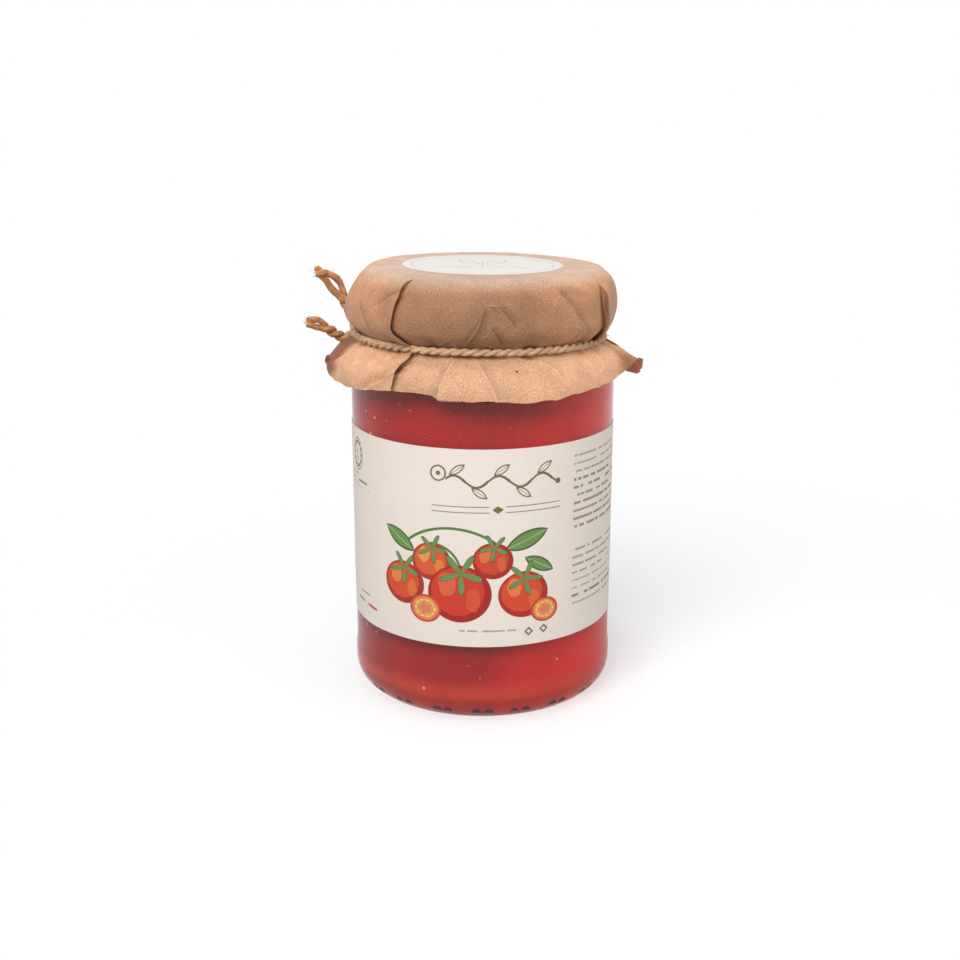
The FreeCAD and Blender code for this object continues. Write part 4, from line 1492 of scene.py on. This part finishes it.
class JAR_OT_stage(bpy.types.Operator):
    """Set the floor, the light and the camera"""

    bl_idname = "passata_jar.stage"
    bl_label = "Stage"

    def execute(self, context):
        stage = settings("stage_sizes")
        deselect()
        bpy.ops.mesh.primitive_plane_add(size=12.0)
        floor = bpy.context.object
        floor.name = "white_floor"
        paint = Paint("White table top")
        place = paint.place()
        x, y, _ = paint.axes(place)
        table = paint.mix((0.46, 0.465, 0.47), (0.48, 0.485, 0.49), paint.noise(place, 8.0))
        table = paint.mix(table, (0.97, 0.975, 0.985), paint.add("LightPath", out="Is Camera Ray"))
        top = paint.principled(Base_Color=table, Roughness=0.85, Specular_IOR_Level=0.1)
        white = paint.add("Emission", Color=(1.0,) * 4, Strength=1.0)
        far = 1.0 - length_of(x - 0.05, y - 0.02).below(0.08, 0.12) * 0.85
        floor.data.materials.append(paint.done(paint.add(
            "MixShader", _0=far * unlit_rays(paint), _1=top, _2=white)))
        lamp("Key lamp", (-0.13, -0.36, 0.46), 0.3, 2.2)
        lamp("Top lamp", (0.06, 0.10, 0.9), 0.6, 1.3)
        lamp("Fill lamp", (0.44, -0.20, 0.30), 0.3, 0.5, mirrored=False)
        sky = Paint("White studio", world=True)
        back = sky.axes(sky.add("TexCoord", out="Generated"))[1]
        front = back.below(0.0, 0.5) * (1.0 - sky.add("LightPath", out="Is Camera Ray"))
        glow = 0.48 + unlit_rays(sky) * (0.52 - 0.98 * front)
        bpy.context.scene.world = sky.done(sky.add("Background", Color=(1.0,) * 4, Strength=glow))
        camera = bpy.data.cameras.new("Camera")
        camera.lens = stage.lens
        camera.sensor_width = 36.0
        seat = bpy.data.objects.new("Camera", camera)
        bpy.context.collection.objects.link(seat)
        seat.location = (-stage.aside, -stage.distance, stage.height)
        seat.rotation_euler = (math.pi / 2 - stage.pitch, 0, 0)
        bpy.context.scene.camera = seat
        bpy.context.scene.view_settings.view_transform = "Standard"
        return {"FINISHED"}


# ---- panel and registration ----
OPERATORS = (JAR_OT_stage, JAR_OT_glass, JAR_OT_label, JAR_OT_lid, JAR_OT_cover, JAR_OT_sticker,
             JAR_OT_twine)
GROUPS = {"jar_sizes": JarSizes, "cover_sizes": CoverSizes, "twine_sizes": TwineSizes,
          "jar_colours": JarColours, "stage_sizes": StageSizes}


class JAR_PT_panel(bpy.types.Panel):
    """Sidebar panel with the jar's sizes, colours and pieces"""

    bl_idname = "JAR_PT_panel"
    bl_label = "Passata Jar"
    bl_space_type = "VIEW_3D"
    bl_region_type = "UI"
    bl_category = "Passata Jar"

    def draw(self, context):
        for group in GROUPS:
            box = self.layout.box()
            values = getattr(context.scene, group)
            for name in values.bl_rna.properties.keys():
                if name not in ("rna_type", "name"):
                    box.prop(values, name)
        for operator in OPERATORS:
            self.layout.operator(operator.bl_idname)


def register():
    for group in GROUPS.values():
        bpy.utils.register_class(group)
    for name, group in GROUPS.items():
        setattr(bpy.types.Scene, name, bpy.props.PointerProperty(type=group))
    for item in OPERATORS + (JAR_PT_panel,):
        bpy.utils.register_class(item)


def unregister():
    for item in reversed(OPERATORS + (JAR_PT_panel,)):
        bpy.utils.unregister_class(item)
    for name, group in GROUPS.items():
        delattr(bpy.types.Scene, name)
        bpy.utils.unregister_class(group)


def main():
    register()
    bpy.ops.passata_jar.stage()
    bpy.ops.passata_jar.glass()
    bpy.ops.passata_jar.label()
    bpy.ops.passata_jar.lid()
    bpy.ops.passata_jar.cover()
    bpy.ops.passata_jar.sticker()
    bpy.ops.passata_jar.twine()


if __name__ == "__main__":
    main()
